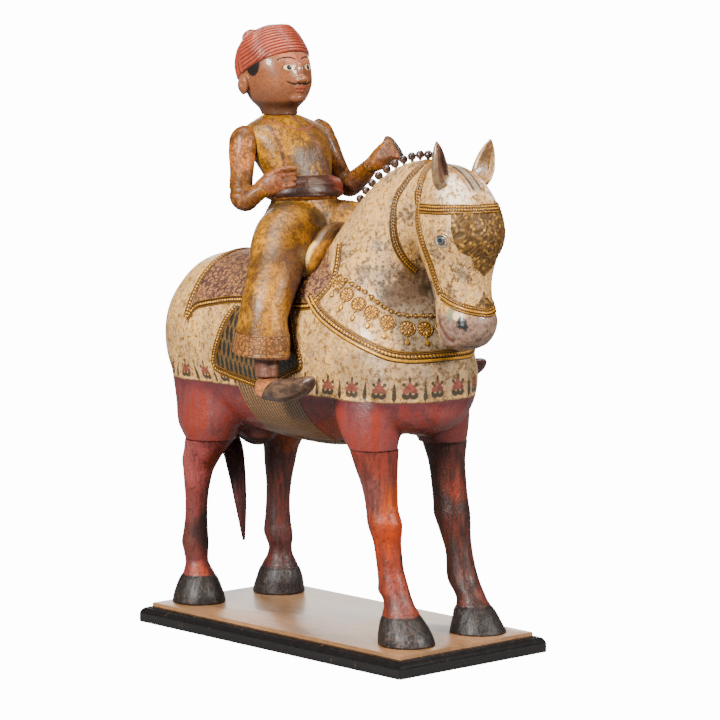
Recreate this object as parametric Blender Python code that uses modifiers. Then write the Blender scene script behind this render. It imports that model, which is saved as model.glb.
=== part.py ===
"""Carved and painted wooden horse with its rider, standing on a board with a dark moulding.

Metres, +Z up. The horse faces -Y and its right side is at -X. The origin is the middle of the
plinth's underside. Run it with: blender --background --python part.py
"""
import math

import bmesh
import bpy
import numpy as np
from mathutils import Matrix, Vector
from mathutils.bvhtree import BVHTree

# Driving dimensions
GAP = 0.0003
BOARD_LENGTH = 0.700
BOARD_WIDTH = 0.334
BOARD_HEIGHT = 0.038
MOULDING_HEIGHT = 0.031
MOULDING_DEPTH = 0.018
HOOF_SOLE = BOARD_HEIGHT + GAP
FORWARD = 90.0
CARVING_VOXEL = 0.006
RELIEF = 0.0025
BEAD_RADIUS = 0.0072
BEAD_COUNT = 11
BEAD_SPACING = 0.0218
CREST_START = 34
CREST_END = 130.0


def clear_scene():
    for obj in list(bpy.data.objects):
        bpy.data.objects.remove(obj)


def new_collection(name, hidden=False):
    collection = bpy.data.collections.new(name)
    bpy.context.scene.collection.children.link(collection)
    collection.hide_render = hidden
    return collection


def paint(name, colour, roughness, metallic=0.0):
    material = bpy.data.materials.new(name)
    material.use_nodes = True
    shader = material.node_tree.nodes["Principled BSDF"]
    shader.inputs["Base Color"].default_value = (*colour, 1.0)
    shader.inputs["Roughness"].default_value = roughness
    shader.inputs["Metallic"].default_value = metallic
    return material


def add_object(name, mesh, material, collection):
    obj = bpy.data.objects.new(name, mesh)
    if material:
        mesh.materials.append(material)
    collection.objects.link(obj)
    return obj


# Lofts

def through(rows, count):
    """Smooth curve through the rows of a table, sampled evenly along its first three columns."""
    rows = np.array(rows, float)
    steps = np.linalg.norm(np.diff(rows[:, :3], axis=0), axis=1)
    knots = np.concatenate([[0.0], np.cumsum(steps)])
    slopes = np.gradient(rows, knots, axis=0)
    at = np.linspace(0.0, knots[-1], count)
    i = np.clip(np.searchsorted(knots, at, side="right") - 1, 0, len(knots) - 2)
    span = (knots[i + 1] - knots[i])[:, None]
    s = (at - knots[i])[:, None] / span
    start = (2 * s**3 - 3 * s**2 + 1) * rows[i] + (s**3 - 2 * s**2 + s) * span * slopes[i]
    end = (3 * s**2 - 2 * s**3) * rows[i + 1] + (s**3 - s**2) * span * slopes[i + 1]
    return start + end


def section(sides, width, rise, fall, square_top=2.0, square_bottom=2.0):
    """Across and along distances of a rounded section, wider than an ellipse where square is over 2."""
    turn = np.linspace(0.0, 2 * math.pi, sides, endpoint=False)
    power = np.where(np.sin(turn) >= 0, 2 / square_top, 2 / square_bottom)
    across = width * np.sign(np.cos(turn)) * np.abs(np.cos(turn)) ** power
    along = np.sign(np.sin(turn)) * np.abs(np.sin(turn)) ** power
    return across, along * np.where(along >= 0, rise, fall)


def skin_rings(bm, rings):
    """Quads between neighbouring rings, and a flat cap at each end."""
    rows = [[bm.verts.new(point) for point in ring] for ring in rings]
    sides = len(rows[0])
    for first, second in zip(rows, rows[1:]):
        for k in range(sides):
            n = (k + 1) % sides
            bm.faces.new((first[k], first[n], second[n], second[k]))
    bm.faces.new(rows[0][::-1])
    bm.faces.new(rows[-1])


def body_loft(bm, table, count=24, sides=24):
    """Sections that all lie square to the YZ plane. A row is x, y, z, lean, width, rise, fall,
    square_top, square_bottom, and lean turns the section's rise from +Z towards -Y, in degrees."""
    rings = []
    for x, y, z, lean, width, rise, fall, top, bottom in through(table, count):
        angle = math.radians(lean)
        up = np.array([0.0, -math.sin(angle), math.cos(angle)])
        across, along = section(sides, width, rise, fall, top, bottom)
        rings.append(np.array([x, y, z]) + np.outer(across, [1.0, 0.0, 0.0]) + np.outer(along, up))
    skin_rings(bm, rings)


def limb_loft(bm, table, flat=(0.0, 0.0, 1.0), count=12, sides=14):
    """A tapering limb. A row is x, y, z, half thickness along flat, half thickness across it."""
    rows = through(table, count)
    tangents = np.gradient(rows[:, :3], axis=0)
    tangents /= np.linalg.norm(tangents, axis=1)[:, None]
    rings = []
    for row, tangent in zip(rows, tangents):
        side = np.cross(tangent, np.array(flat, float))
        side /= np.linalg.norm(side)
        high = np.cross(side, tangent)
        across, along = section(sides, row[4], row[3], row[3])
        rings.append(row[:3] + np.outer(across, side) + np.outer(along, high))
    skin_rings(bm, rings)


def ball(bm, centre, radii, segments=16, rings=10, turn=None):
    """An ellipsoid, turned about its own centre where turn is given."""
    matrix = Matrix.Translation(centre) @ (turn or Matrix()) @ Matrix.Diagonal((*radii, 1.0))
    bmesh.ops.create_uvsphere(bm, u_segments=segments, v_segments=rings, radius=1.0, matrix=matrix)


def mirrored(table):
    """The same table on the other side of the YZ plane."""
    rows = np.array(table, float)
    rows[:, 0] *= -1
    return rows


def mesh_of(bm, name):
    bmesh.ops.recalc_face_normals(bm, faces=bm.faces)
    mesh = bpy.data.meshes.new(name)
    bm.to_mesh(mesh)
    bm.free()
    return mesh


def melted(name, bm, voxel, relax, triangles, collection):
    """One carved solid from overlapping lofts: voxel remesh, smoothing and thinning to a triangle count."""
    obj = add_object(name, mesh_of(bm, name), None, collection)
    remesh = obj.modifiers.new("melt", "REMESH")
    remesh.mode = "VOXEL"
    remesh.voxel_size = voxel
    smooth = obj.modifiers.new("relax", "SMOOTH")
    smooth.factor = 0.5
    smooth.iterations = relax
    bpy.context.view_layer.update()
    graph = bpy.context.evaluated_depsgraph_get()
    dense = sum(len(p.vertices) - 2 for p in obj.evaluated_get(graph).data.polygons)
    thin = obj.modifiers.new("thin", "DECIMATE")
    thin.ratio = min(1.0, triangles / dense)
    bake(obj)
    return obj


def thin_out(obj, ratio):
    """Fewer triangles on a piece whose Booleans have left many small ones."""
    thin = obj.modifiers.new("thin", "DECIMATE")
    thin.ratio = ratio
    bake(obj)


def bake(obj):
    """The modifiers' result becomes the object's own mesh."""
    bpy.context.view_layer.update()
    graph = bpy.context.evaluated_depsgraph_get()
    mesh = bpy.data.meshes.new_from_object(obj.evaluated_get(graph))
    obj.modifiers.clear()
    obj.data = mesh


def combine(obj, other, operation):
    """Boolean with another object, which is then removed."""
    cut = obj.modifiers.new(operation.lower(), "BOOLEAN")
    cut.operation = operation
    cut.object = other
    bake(obj)
    bpy.data.objects.remove(other)


def box_cutter(low, high, collection):
    bm = bmesh.new()
    size = Vector(high) - Vector(low)
    centre = (Vector(high) + Vector(low)) / 2
    bmesh.ops.create_cube(bm, size=1.0, matrix=Matrix.Translation(centre) @ Matrix.Diagonal((*size, 1.0)))
    return add_object("cutter", mesh_of(bm, "cutter"), None, collection)


def finish(obj, material, angle=40.0):
    obj.data.materials.clear()
    obj.data.materials.append(material)
    obj.data.shade_smooth()
    obj.data.set_sharp_from_angle(angle=math.radians(angle))
    return obj


# Plinth

def make_board(material, collection):
    bm = bmesh.new()
    size = Matrix.Diagonal((BOARD_WIDTH, BOARD_LENGTH, BOARD_HEIGHT, 1.0))
    bmesh.ops.create_cube(bm, size=1.0, matrix=Matrix.Translation((0, 0, BOARD_HEIGHT / 2)) @ size)
    return add_object("plinth_board", mesh_of(bm, "plinth_board"), material, collection)


def moulding_profile():
    """Outward distance and height of the moulding's section: flat foot and side, round shoulder."""
    roll = MOULDING_DEPTH - 0.003
    arc = np.radians(np.linspace(0.0, 90.0, 7))
    centre_out, centre_up = MOULDING_DEPTH - roll, MOULDING_HEIGHT - roll
    points = [(GAP, 0.0), (MOULDING_DEPTH - 0.002, 0.0), (MOULDING_DEPTH, 0.002)]
    points += [(centre_out + roll * math.cos(a), centre_up + roll * math.sin(a)) for a in arc]
    points.append((GAP, MOULDING_HEIGHT))
    return points


def make_moulding(name, run, reach, quarter_turns, material, collection):
    """One mitred strip: its section at both ends, each point moved along the run by its own reach."""
    bm = bmesh.new()
    ends = []
    for sign in (-1, 1):
        ends.append([(sign * (run / 2 + out - GAP), reach + out, up) for out, up in moulding_profile()])
    skin_rings(bm, ends)
    bmesh.ops.rotate(bm, verts=bm.verts, matrix=Matrix.Rotation(quarter_turns * math.pi / 2, 3, "Z"))
    obj = add_object(name, mesh_of(bm, name), material, collection)
    return finish(obj, material, 35.0)


# Horse. A TRUNK, NECK, HEAD or STUB row: x, y, z, lean, width, rise, fall, square_top, square_bottom

TRUNK = [
    (0, 0.403, 0.563, 0, 0.030, 0.035, 0.040, 2, 2),
    (0, 0.393, 0.560, 0, 0.077, 0.083, 0.098, 2, 2),
    (0, 0.357, 0.558, 0, 0.121, 0.133, 0.149, 2, 2.1),
    (0, 0.296, 0.555, 0, 0.145, 0.159, 0.169, 2, 2.2),
    (0, 0.200, 0.552, 0, 0.152, 0.165, 0.172, 2, 2.2),
    (0, 0.080, 0.548, 0, 0.154, 0.166, 0.178, 2.1, 2.1),
    (0, -0.040, 0.550, 0, 0.152, 0.178, 0.179, 2.2, 2.1),
    (0, -0.140, 0.552, 0, 0.148, 0.178, 0.154, 2.1, 2.2),
    (0, -0.215, 0.538, 0, 0.134, 0.155, 0.130, 1.8, 2.2),
    (0, -0.268, 0.506, 0, 0.103, 0.128, 0.092, 1.55, 2.1),
    (0, -0.296, 0.495, 0, 0.057, 0.072, 0.056, 1.8, 2),
]
NECK = [
    (0, -0.090, 0.520, -60, 0.130, 0.150, 0.150, 2.0, 2.0),
    (0, -0.105, 0.590, -56, 0.126, 0.165, 0.165, 1.9, 2.0),
    (0, -0.138, 0.655, -48, 0.114, 0.158, 0.155, 1.8, 2.0),
    (0, -0.166, 0.720, -40, 0.093, 0.140, 0.135, 1.7, 2.0),
    (0, -0.196, 0.775, -25, 0.075, 0.119, 0.110, 1.7, 2.0),
    (0, -0.230, 0.815, -5, 0.064, 0.093, 0.095, 1.7, 2.0),
    (0, -0.265, 0.835, 20, 0.058, 0.073, 0.082, 2.0, 2.0),
]
HEAD = [
    (0, -0.250, 0.870, 20, 0.034, 0.037, 0.050, 2.0, 2.0),
    (0, -0.285, 0.850, 40, 0.055, 0.062, 0.075, 2.4, 2.0),
    (0, -0.312, 0.808, 68, 0.067, 0.080, 0.090, 2.8, 2.2),
    (0, -0.324, 0.772, 84, 0.068, 0.081, 0.088, 2.8, 2.2),
    (0, -0.330, 0.730, 88, 0.055, 0.063, 0.078, 2.5, 2.2),
    (0, -0.333, 0.690, 90, 0.047, 0.053, 0.064, 2.4, 2.2),
    (0, -0.338, 0.655, 90, 0.046, 0.054, 0.057, 2.3, 2.2),
    (0, -0.343, 0.622, 90, 0.050, 0.059, 0.054, 2.2, 2.2),
    (0, -0.342, 0.596, 90, 0.046, 0.052, 0.049, 2.0, 2.1),
    (0, -0.338, 0.578, 90, 0.034, 0.034, 0.036, 2.0, 2.0),
    (0, -0.336, 0.571, 90, 0.016, 0.016, 0.018, 2.0, 2.0),
]
FRONT_STUB = [
    (-0.087, -0.200, 0.345, 90, 0.034, 0.036, 0.034, 2, 2),
    (-0.087, -0.195, 0.371, 90, 0.040, 0.042, 0.040, 2, 2),
    (-0.086, -0.182, 0.419, 90, 0.054, 0.060, 0.056, 2, 2),
    (-0.080, -0.172, 0.460, 90, 0.062, 0.076, 0.066, 2, 2),
    (-0.068, -0.165, 0.520, 90, 0.062, 0.080, 0.070, 2, 2),
]
REAR_STUB = [
    (-0.090, 0.284, 0.325, 90, 0.037, 0.038, 0.038, 2, 2),
    (-0.090, 0.266, 0.354, 90, 0.044, 0.047, 0.048, 2, 2),
    (-0.089, 0.264, 0.385, 90, 0.056, 0.062, 0.071, 2, 2),
    (-0.083, 0.267, 0.430, 90, 0.061, 0.084, 0.081, 2, 2),
    (-0.071, 0.268, 0.500, 90, 0.074, 0.100, 0.104, 2, 2),
]

# A leg row: z, y, half width, forward reach, backward reach
LEG_FRONT_RIGHT = [
    (0.3850, -0.1930, 0.0420, 0.0440, 0.0430),
    (0.3710, -0.1950, 0.0400, 0.0410, 0.0400),
    (0.3210, -0.2070, 0.0315, 0.0325, 0.0320),
    (0.2720, -0.2150, 0.0295, 0.0310, 0.0300),
    (0.2530, -0.2200, 0.0310, 0.0340, 0.0315),
    (0.2400, -0.2230, 0.0295, 0.0315, 0.0300),
    (0.2210, -0.2270, 0.0255, 0.0265, 0.0265),
    (0.1900, -0.2325, 0.0240, 0.0250, 0.0250),
    (0.1700, -0.2360, 0.0240, 0.0250, 0.0250),
    (0.1450, -0.2430, 0.0260, 0.0275, 0.0285),
    (0.1330, -0.2460, 0.0275, 0.0290, 0.0315),
    (0.1200, -0.2540, 0.0265, 0.0275, 0.0270),
    (0.1060, -0.2600, 0.0280, 0.0290, 0.0285),
    (0.0900, -0.2640, 0.0345, 0.0370, 0.0350),
    (0.0740, -0.2680, 0.0420, 0.0460, 0.0420),
    (0.0550, -0.2740, 0.0485, 0.0530, 0.0485),
    (HOOF_SOLE, -0.2780, 0.0510, 0.0560, 0.0520),
]
LEG_FRONT_LEFT = [
    (0.3850, -0.1880, 0.0415, 0.0440, 0.0430),
    (0.3500, -0.1940, 0.0345, 0.0360, 0.0355),
    (0.3110, -0.2000, 0.0325, 0.0335, 0.0330),
    (0.2700, -0.2065, 0.0325, 0.0340, 0.0335),
    (0.2520, -0.2090, 0.0335, 0.0350, 0.0345),
    (0.2300, -0.2150, 0.0305, 0.0320, 0.0310),
    (0.2105, -0.2200, 0.0275, 0.0285, 0.0280),
    (0.1815, -0.2280, 0.0250, 0.0260, 0.0250),
    (0.1550, -0.2340, 0.0265, 0.0270, 0.0280),
    (0.1410, -0.2370, 0.0280, 0.0285, 0.0300),
    (0.1250, -0.2430, 0.0285, 0.0300, 0.0300),
    (0.1100, -0.2540, 0.0275, 0.0290, 0.0270),
    (0.0930, -0.2630, 0.0290, 0.0320, 0.0280),
    (0.0770, -0.2680, 0.0375, 0.0410, 0.0370),
    (0.0600, -0.2730, 0.0440, 0.0480, 0.0440),
    (HOOF_SOLE, -0.2780, 0.0520, 0.0560, 0.0525),
]
LEG_REAR_RIGHT = [
    (0.3580, 0.2660, 0.0450, 0.0490, 0.0500),
    (0.3400, 0.2780, 0.0395, 0.0440, 0.0430),
    (0.3120, 0.2930, 0.0330, 0.0355, 0.0390),
    (0.2960, 0.2990, 0.0290, 0.0305, 0.0320),
    (0.2740, 0.3030, 0.0255, 0.0270, 0.0270),
    (0.2350, 0.3060, 0.0215, 0.0222, 0.0225),
    (0.1950, 0.3075, 0.0218, 0.0225, 0.0228),
    (0.1700, 0.3095, 0.0240, 0.0245, 0.0255),
    (0.1540, 0.3100, 0.0255, 0.0262, 0.0280),
    (0.1350, 0.3080, 0.0235, 0.0240, 0.0240),
    (0.1170, 0.3060, 0.0222, 0.0228, 0.0225),
    (0.0970, 0.3010, 0.0290, 0.0300, 0.0300),
    (0.0830, 0.3010, 0.0370, 0.0385, 0.0380),
    (0.0690, 0.3010, 0.0430, 0.0445, 0.0440),
    (0.0500, 0.3000, 0.0490, 0.0505, 0.0500),
    (HOOF_SOLE, 0.3000, 0.0515, 0.0525, 0.0520),
]
LEG_REAR_LEFT = [
    (0.3580, 0.2600, 0.0440, 0.0480, 0.0480),
    (0.3300, 0.2680, 0.0350, 0.0365, 0.0370),
    (0.2920, 0.2730, 0.0295, 0.0305, 0.0305),
    (0.2500, 0.2765, 0.0242, 0.0250, 0.0250),
    (0.2000, 0.2795, 0.0238, 0.0245, 0.0245),
    (0.1750, 0.2795, 0.0258, 0.0262, 0.0270),
    (0.1570, 0.2785, 0.0278, 0.0285, 0.0290),
    (0.1420, 0.2750, 0.0260, 0.0265, 0.0255),
    (0.1300, 0.2730, 0.0228, 0.0235, 0.0230),
    (0.1130, 0.2730, 0.0250, 0.0255, 0.0255),
    (0.0940, 0.2740, 0.0345, 0.0355, 0.0350),
    (0.0800, 0.2745, 0.0410, 0.0420, 0.0415),
    (0.0660, 0.2750, 0.0455, 0.0465, 0.0460),
    (0.0500, 0.2765, 0.0490, 0.0500, 0.0500),
    (HOOF_SOLE, 0.2770, 0.0510, 0.0520, 0.0520),
]
LEGS = {
    "leg_front_right": (LEG_FRONT_RIGHT, -0.085, (-0.15, -0.27), (-0.032, -0.118)),
    "leg_front_left": (LEG_FRONT_LEFT, 0.095, (0.036, -0.27), (0.16, -0.118)),
    "leg_rear_right": (LEG_REAR_RIGHT, -0.092, (-0.17, 0.14), (-0.02, 0.42)),
    "leg_rear_left": (LEG_REAR_LEFT, 0.092, (0.02, 0.14), (0.17, 0.42)),
}
# Row: x, y, z, half thickness, half width
TAIL = [
    (0, 0.3920, 0.6100, 0.014, 0.018),
    (0, 0.4120, 0.5800, 0.014, 0.021),
    (0, 0.4230, 0.5350, 0.015, 0.025),
    (0, 0.4160, 0.4750, 0.015, 0.027),
    (0, 0.3880, 0.4250, 0.014, 0.028),
    (0, 0.3450, 0.3750, 0.015, 0.030),
    (0, 0.3090, 0.3300, 0.014, 0.025),
    (0, 0.2940, 0.2800, 0.012, 0.020),
    (0, 0.2830, 0.2200, 0.009, 0.013),
    (0, 0.2740, 0.1500, 0.002, 0.003),
]
# Row: x, y, z, half thickness, half width
EAR = [
    (-0.045, -0.325, 0.850, 0.009, 0.011),
    (-0.048, -0.327, 0.868, 0.011, 0.014),
    (-0.053, -0.330, 0.888, 0.012, 0.019),
    (-0.058, -0.332, 0.910, 0.011, 0.019),
    (-0.063, -0.334, 0.930, 0.008, 0.012),
    (-0.066, -0.335, 0.942, 0.004, 0.005),
    (-0.067, -0.335, 0.947, 0.0015, 0.0015),
]
POMMEL = [
    (-0.106, -0.020, 0.688, 0.006, 0.007),
    (-0.100, -0.022, 0.698, 0.013, 0.014),
    (-0.085, -0.021, 0.717, 0.017, 0.018),
    (-0.060, -0.016, 0.740, 0.017, 0.018),
    (-0.030, -0.004, 0.760, 0.016, 0.017),
    (0.000, 0.004, 0.768, 0.015, 0.016),
    (0.030, -0.004, 0.760, 0.016, 0.017),
    (0.060, -0.016, 0.740, 0.017, 0.018),
    (0.085, -0.021, 0.717, 0.017, 0.018),
    (0.100, -0.022, 0.698, 0.013, 0.014),
    (0.106, -0.020, 0.688, 0.006, 0.007),
]

# Harness and saddle-cloth edges on the horse's right side, as points near its surface. A harness
# row: points, width, whether the middle is closed across to the left side, samples
CHEEK = [
    (0.000, -0.262, 0.906), (-0.030, -0.272, 0.890), (-0.048, -0.275, 0.868), (-0.055, -0.274, 0.835),
    (-0.062, -0.283, 0.805), (-0.064, -0.297, 0.770), (-0.054, -0.305, 0.732), (-0.046, -0.311, 0.700),
    (-0.045, -0.325, 0.671),
]
THROAT = [
    (0.000, -0.245, 0.906), (-0.030, -0.248, 0.892), (-0.048, -0.236, 0.868), (-0.059, -0.222, 0.839),
    (-0.066, -0.221, 0.805), (-0.064, -0.223, 0.770), (-0.054, -0.229, 0.740), (-0.032, -0.236, 0.716),
]
BROW = [(0.000, -0.392, 0.828), (-0.033, -0.386, 0.827), (-0.052, -0.370, 0.827), (-0.064, -0.336, 0.826),
        (-0.058, -0.284, 0.825)]
NOSE = [(0.000, -0.396, 0.643), (-0.020, -0.391, 0.646), (-0.034, -0.380, 0.650), (-0.043, -0.359, 0.657),
        (-0.045, -0.325, 0.671)]
BREAST = [
    (0.000, -0.297, 0.559), (-0.048, -0.292, 0.559), (-0.082, -0.279, 0.560), (-0.108, -0.259, 0.565),
    (-0.125, -0.230, 0.576), (-0.135, -0.193, 0.590), (-0.139, -0.149, 0.608), (-0.137, -0.100, 0.633),
    (-0.124, -0.060, 0.660),
]
CLOTH_REAR = [
    (0.000, 0.268, 0.715), (-0.055, 0.268, 0.702), (-0.083, 0.267, 0.685), (-0.102, 0.267, 0.669),
    (-0.117, 0.266, 0.653), (-0.139, 0.267, 0.611), (-0.145, 0.269, 0.592),
]
CLOTH_SIDE = [(-0.145, 0.266, 0.594), (-0.139, 0.248, 0.616), (-0.135, 0.222, 0.624), (-0.133, 0.198, 0.628),
              (-0.131, 0.169, 0.633), (-0.130, 0.136, 0.637)]
CLOTH_FRONT = [(-0.136, -0.025, 0.637), (-0.135, -0.055, 0.638), (-0.134, -0.076, 0.642),
               (-0.126, -0.090, 0.656), (-0.110, -0.104, 0.680), (-0.095, -0.106, 0.712),
               (-0.074, -0.092, 0.752)]
FLAP = [
    (-0.134, 0.130, 0.630), (-0.141, 0.142, 0.612), (-0.149, 0.154, 0.589), (-0.152, 0.165, 0.561),
    (-0.151, 0.177, 0.531), (-0.150, 0.180, 0.514), (-0.149, 0.166, 0.504), (-0.148, 0.141, 0.499),
    (-0.146, 0.102, 0.492), (-0.144, 0.062, 0.486), (-0.145, 0.026, 0.490), (-0.148, -0.008, 0.506),
    (-0.149, -0.040, 0.520), (-0.150, -0.064, 0.532), (-0.151, -0.059, 0.553), (-0.150, -0.049, 0.572),
    (-0.148, -0.041, 0.597), (-0.142, -0.032, 0.620),
]
HARNESS = [
    (CHEEK, 0.016, True, 17),
    (THROAT, 0.015, True, 15),
    (BROW, 0.017, True, 11),
    (NOSE, 0.016, True, 9),
    (BREAST, 0.021, True, 17),
    (CLOTH_REAR, 0.015, True, 11),
    (CLOTH_SIDE, 0.013, False, 5),
    (CLOTH_FRONT, 0.013, False, 7),
    (FLAP, 0.014, False, 14),
]
MEDALLIONS = [
    (0.000, -0.282, 0.608), (-0.037, -0.278, 0.609), (-0.070, -0.266, 0.613), (-0.097, -0.241, 0.625),
    (-0.108, -0.209, 0.639), (-0.113, -0.180, 0.651), (-0.113, -0.150, 0.665), (-0.108, -0.123, 0.684),
]


def across(points):
    """A half path, given from the middle outwards, together with its mirror image."""
    return [tuple(p) for p in mirrored(points)[::-1]] + [tuple(p) for p in points[1:]]


def ribbon(bm, tree, points, width, height, count):
    """A raised band that follows the surface along a path, sunk a little into it."""
    path = through(points, count)
    spots, normals = [], []
    for point in path:
        spot, normal, _, _ = tree.find_nearest(Vector(point))
        spots.append(spot)
        normals.append(normal)
    spots, normals = np.array(spots), np.array(normals)
    normals[1:-1] = (normals[:-2] + 2 * normals[1:-1] + normals[2:]) / 4
    tangents = np.gradient(spots, axis=0)
    rings = []
    for spot, normal, tangent in zip(spots, normals, tangents):
        side = np.cross(normal, tangent)
        side /= np.linalg.norm(side)
        up = np.cross(tangent, side)
        up /= np.linalg.norm(up)
        shape = [(-0.5, -2.0), (0.5, -2.0), (0.4, 1.0), (-0.4, 1.0)]
        rings.append([spot + side * (a * width) + up * (b * height) for a, b in shape])
    skin_rings(bm, rings)


def disc(bm, tree, point, radius, height):
    """A low round boss standing square to the surface."""
    spot, normal, _, _ = tree.find_nearest(Vector(point))
    turn = normal.to_track_quat("Z", "X").to_matrix().to_4x4()
    matrix = Matrix.Translation(spot) @ turn
    bmesh.ops.create_cone(bm, cap_ends=True, segments=8, radius1=radius, radius2=0.8 * radius,
                          depth=2 * height, matrix=matrix)


def add_harness(horse, collection):
    """Straps, cloth edges and medallions carved in low relief, joined to the body one at a time."""
    tree = BVHTree.FromObject(horse, bpy.context.evaluated_depsgraph_get())
    for points, width, closed, count in HARNESS:
        paths = [across(points)] if closed else [points, mirrored(points)]
        for path in paths:
            bm = bmesh.new()
            ribbon(bm, tree, path, width, RELIEF, count)
            combine(horse, add_object("band", mesh_of(bm, "band"), None, collection), "UNION")
    bm = bmesh.new()
    for n, point in enumerate(MEDALLIONS):
        disc(bm, tree, point, 0.0145, RELIEF)
        if n:
            disc(bm, tree, (-point[0], *point[1:]), 0.0145, RELIEF)
    combine(horse, add_object("discs", mesh_of(bm, "discs"), None, collection), "UNION")


def make_leg(name, rows, x, material, collection):
    bm = bmesh.new()
    table = [(x, y, z, FORWARD, wide, front, back, 2.0, 2.0) for z, y, wide, front, back in rows]
    table[0] = (*table[0][:2], table[0][2] - GAP, *table[0][3:])
    body_loft(bm, table, count=17, sides=10)
    obj = add_object(name, mesh_of(bm, name), material, collection)
    return finish(obj, material, 60.0)


def make_horse(material, collection, cutters):
    bm = bmesh.new()
    body_loft(bm, TRUNK, count=28, sides=28)
    body_loft(bm, NECK, count=20, sides=24)
    body_loft(bm, HEAD, count=24, sides=24)
    for table in (FRONT_STUB, REAR_STUB):
        body_loft(bm, table, count=12, sides=16)
        body_loft(bm, mirrored(table), count=12, sides=16)
    ball(bm, (0, 0.235, 0.385), (0.036, 0.055, 0.045))
    horse = melted("horse_body", bm, CARVING_VOXEL, 8, 2300, collection)
    for rows, x, low, high in LEGS.values():
        cutter = box_cutter((*low, 0.2), (*high, rows[0][0]), cutters)
        combine(horse, cutter, "DIFFERENCE")
    add_harness(horse, cutters)
    thin_out(horse, 0.68)
    return finish(horse, material)


def make_tail(horse, material, collection, cutters):
    bm = bmesh.new()
    limb_loft(bm, TAIL, flat=(0.0, 1.0, 0.0), count=12, sides=8)
    tail = add_object("tail", mesh_of(bm, "tail"), material, collection)
    combine(tail, swollen(horse, 0.0006, cutters), "DIFFERENCE")
    return finish(tail, material, 60.0)


def swollen(obj, distance, collection):
    """A copy whose surface stands off the original by a small distance."""
    copy = add_object("swollen", obj.data.copy(), None, collection)
    push = copy.modifiers.new("push", "DISPLACE")
    push.mid_level = 0.0
    push.strength = distance
    bake(copy)
    return copy


def make_ear(name, table, horse, material, collection, cutters):
    bm = bmesh.new()
    inward = -0.3 if table[0][0] > 0 else 0.3
    limb_loft(bm, table, flat=(inward, -0.95, 0.0), count=9, sides=8)
    ear = add_object(name, mesh_of(bm, name), material, collection)
    combine(ear, swollen(horse, 0.0005, cutters), "DIFFERENCE")
    return finish(ear, material)


def make_pommel(horse, rider, material, collection, cutters):
    bm = bmesh.new()
    limb_loft(bm, POMMEL, flat=(0.0, 1.0, 0.0), count=17, sides=8)
    pommel = add_object("pommel", mesh_of(bm, "pommel"), material, collection)
    combine(pommel, swollen(horse, 0.0005, cutters), "DIFFERENCE")
    combine(pommel, swollen(rider, 0.0005, cutters), "DIFFERENCE")
    thin_out(pommel, 0.6)
    return finish(pommel, material)


def crest_points(horse, count, spacing):
    """Points and normals along the top of the neck, evenly spaced, from the withers to the ears."""
    tree = BVHTree.FromObject(horse, bpy.context.evaluated_depsgraph_get())
    centre = Vector((0.0, -0.21, 0.73))
    found = []
    for turn in np.radians(np.linspace(CREST_START, CREST_END, 400)):
        out = Vector((0.0, math.cos(turn), math.sin(turn)))
        found.append(tree.ray_cast(centre + out * 0.5, -out)[:2])
    spots = np.array([spot for spot, _ in found])
    normals = np.array([normal for _, normal in found])
    run = np.concatenate([[0.0], np.cumsum(np.linalg.norm(np.diff(spots, axis=0), axis=1))])
    at = np.arange(count) * spacing
    near = [np.argmin(np.abs(run - a)) for a in at]
    wide = 25
    smooth = [normals[max(0, n - wide):n + wide].mean(axis=0) for n in near]
    return [(Vector(spots[n]), Vector(normal).normalized()) for n, normal in zip(near, smooth)]


def bead_mesh(material):
    """A turned knob on a short neck: half its profile, spun about Z."""
    r = BEAD_RADIUS
    profile = [(0.0, 2.35 * r)]
    for turn in np.radians(np.linspace(40, -45, 3)):
        profile.append((r * math.cos(turn), 1.35 * r + r * math.sin(turn)))
    profile += [(0.42 * r, GAP + 0.0003), (0.0, GAP + 0.0003)]
    mesh = bpy.data.meshes.new("bead_profile")
    mesh.from_pydata([(x, 0.0, z) for x, z in profile], [(n, n + 1) for n in range(len(profile) - 1)], [])
    obj = add_object("bead_profile", mesh, None, bpy.context.scene.collection)
    spin = obj.modifiers.new("spin", "SCREW")
    spin.steps = spin.render_steps = 7
    spin.use_merge_vertices = True
    spin.merge_threshold = 0.00005
    bake(obj)
    finish(obj, material, 60.0)
    turned = obj.data
    bpy.data.objects.remove(obj)
    return turned


def make_beads(horse, material, collection):
    """Knobs in a row along the crest, each standing square to it."""
    mesh = bead_mesh(material)
    for n, (spot, normal) in enumerate(crest_points(horse, BEAD_COUNT, BEAD_SPACING), start=1):
        bead = add_object(f"mane_bead_{n:02d}", mesh, None, collection)
        bead.location = spot
        bead.rotation_euler = normal.to_track_quat("Z", "X").to_euler()


# Rider. A HIPS, TORSO, SASH, FOOT or SKULL row is the same as a TRUNK row

HIPS = [
    (0, 0.075, 0.680, 90, 0.104, 0.042, 0.064, 2, 2),
    (0, 0.080, 0.730, 90, 0.105, 0.050, 0.067, 2.2, 2.2),
    (0, 0.085, 0.775, 90, 0.097, 0.054, 0.073, 2.2, 2.2),
    (0, 0.090, 0.815, 90, 0.073, 0.053, 0.061, 2, 2),
]
TORSO = [
    (0, 0.090, 0.800, 90, 0.071, 0.056, 0.058, 2, 2),
    (0, 0.098, 0.835, 90, 0.067, 0.053, 0.055, 2, 2),
    (0, 0.111, 0.862, 90, 0.070, 0.054, 0.054, 2, 2),
    (0, 0.127, 0.895, 90, 0.080, 0.060, 0.055, 2.2, 2.2),
    (0, 0.139, 0.925, 90, 0.087, 0.061, 0.055, 2.3, 2.3),
    (0, 0.147, 0.944, 90, 0.090, 0.055, 0.051, 2.3, 2.3),
    (0, 0.153, 0.960, 90, 0.081, 0.045, 0.044, 2.2, 2.2),
    (0, 0.158, 0.970, 90, 0.058, 0.037, 0.037, 2, 2),
    (0, 0.161, 0.978, 90, 0.036, 0.033, 0.033, 2, 2),
]
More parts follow.
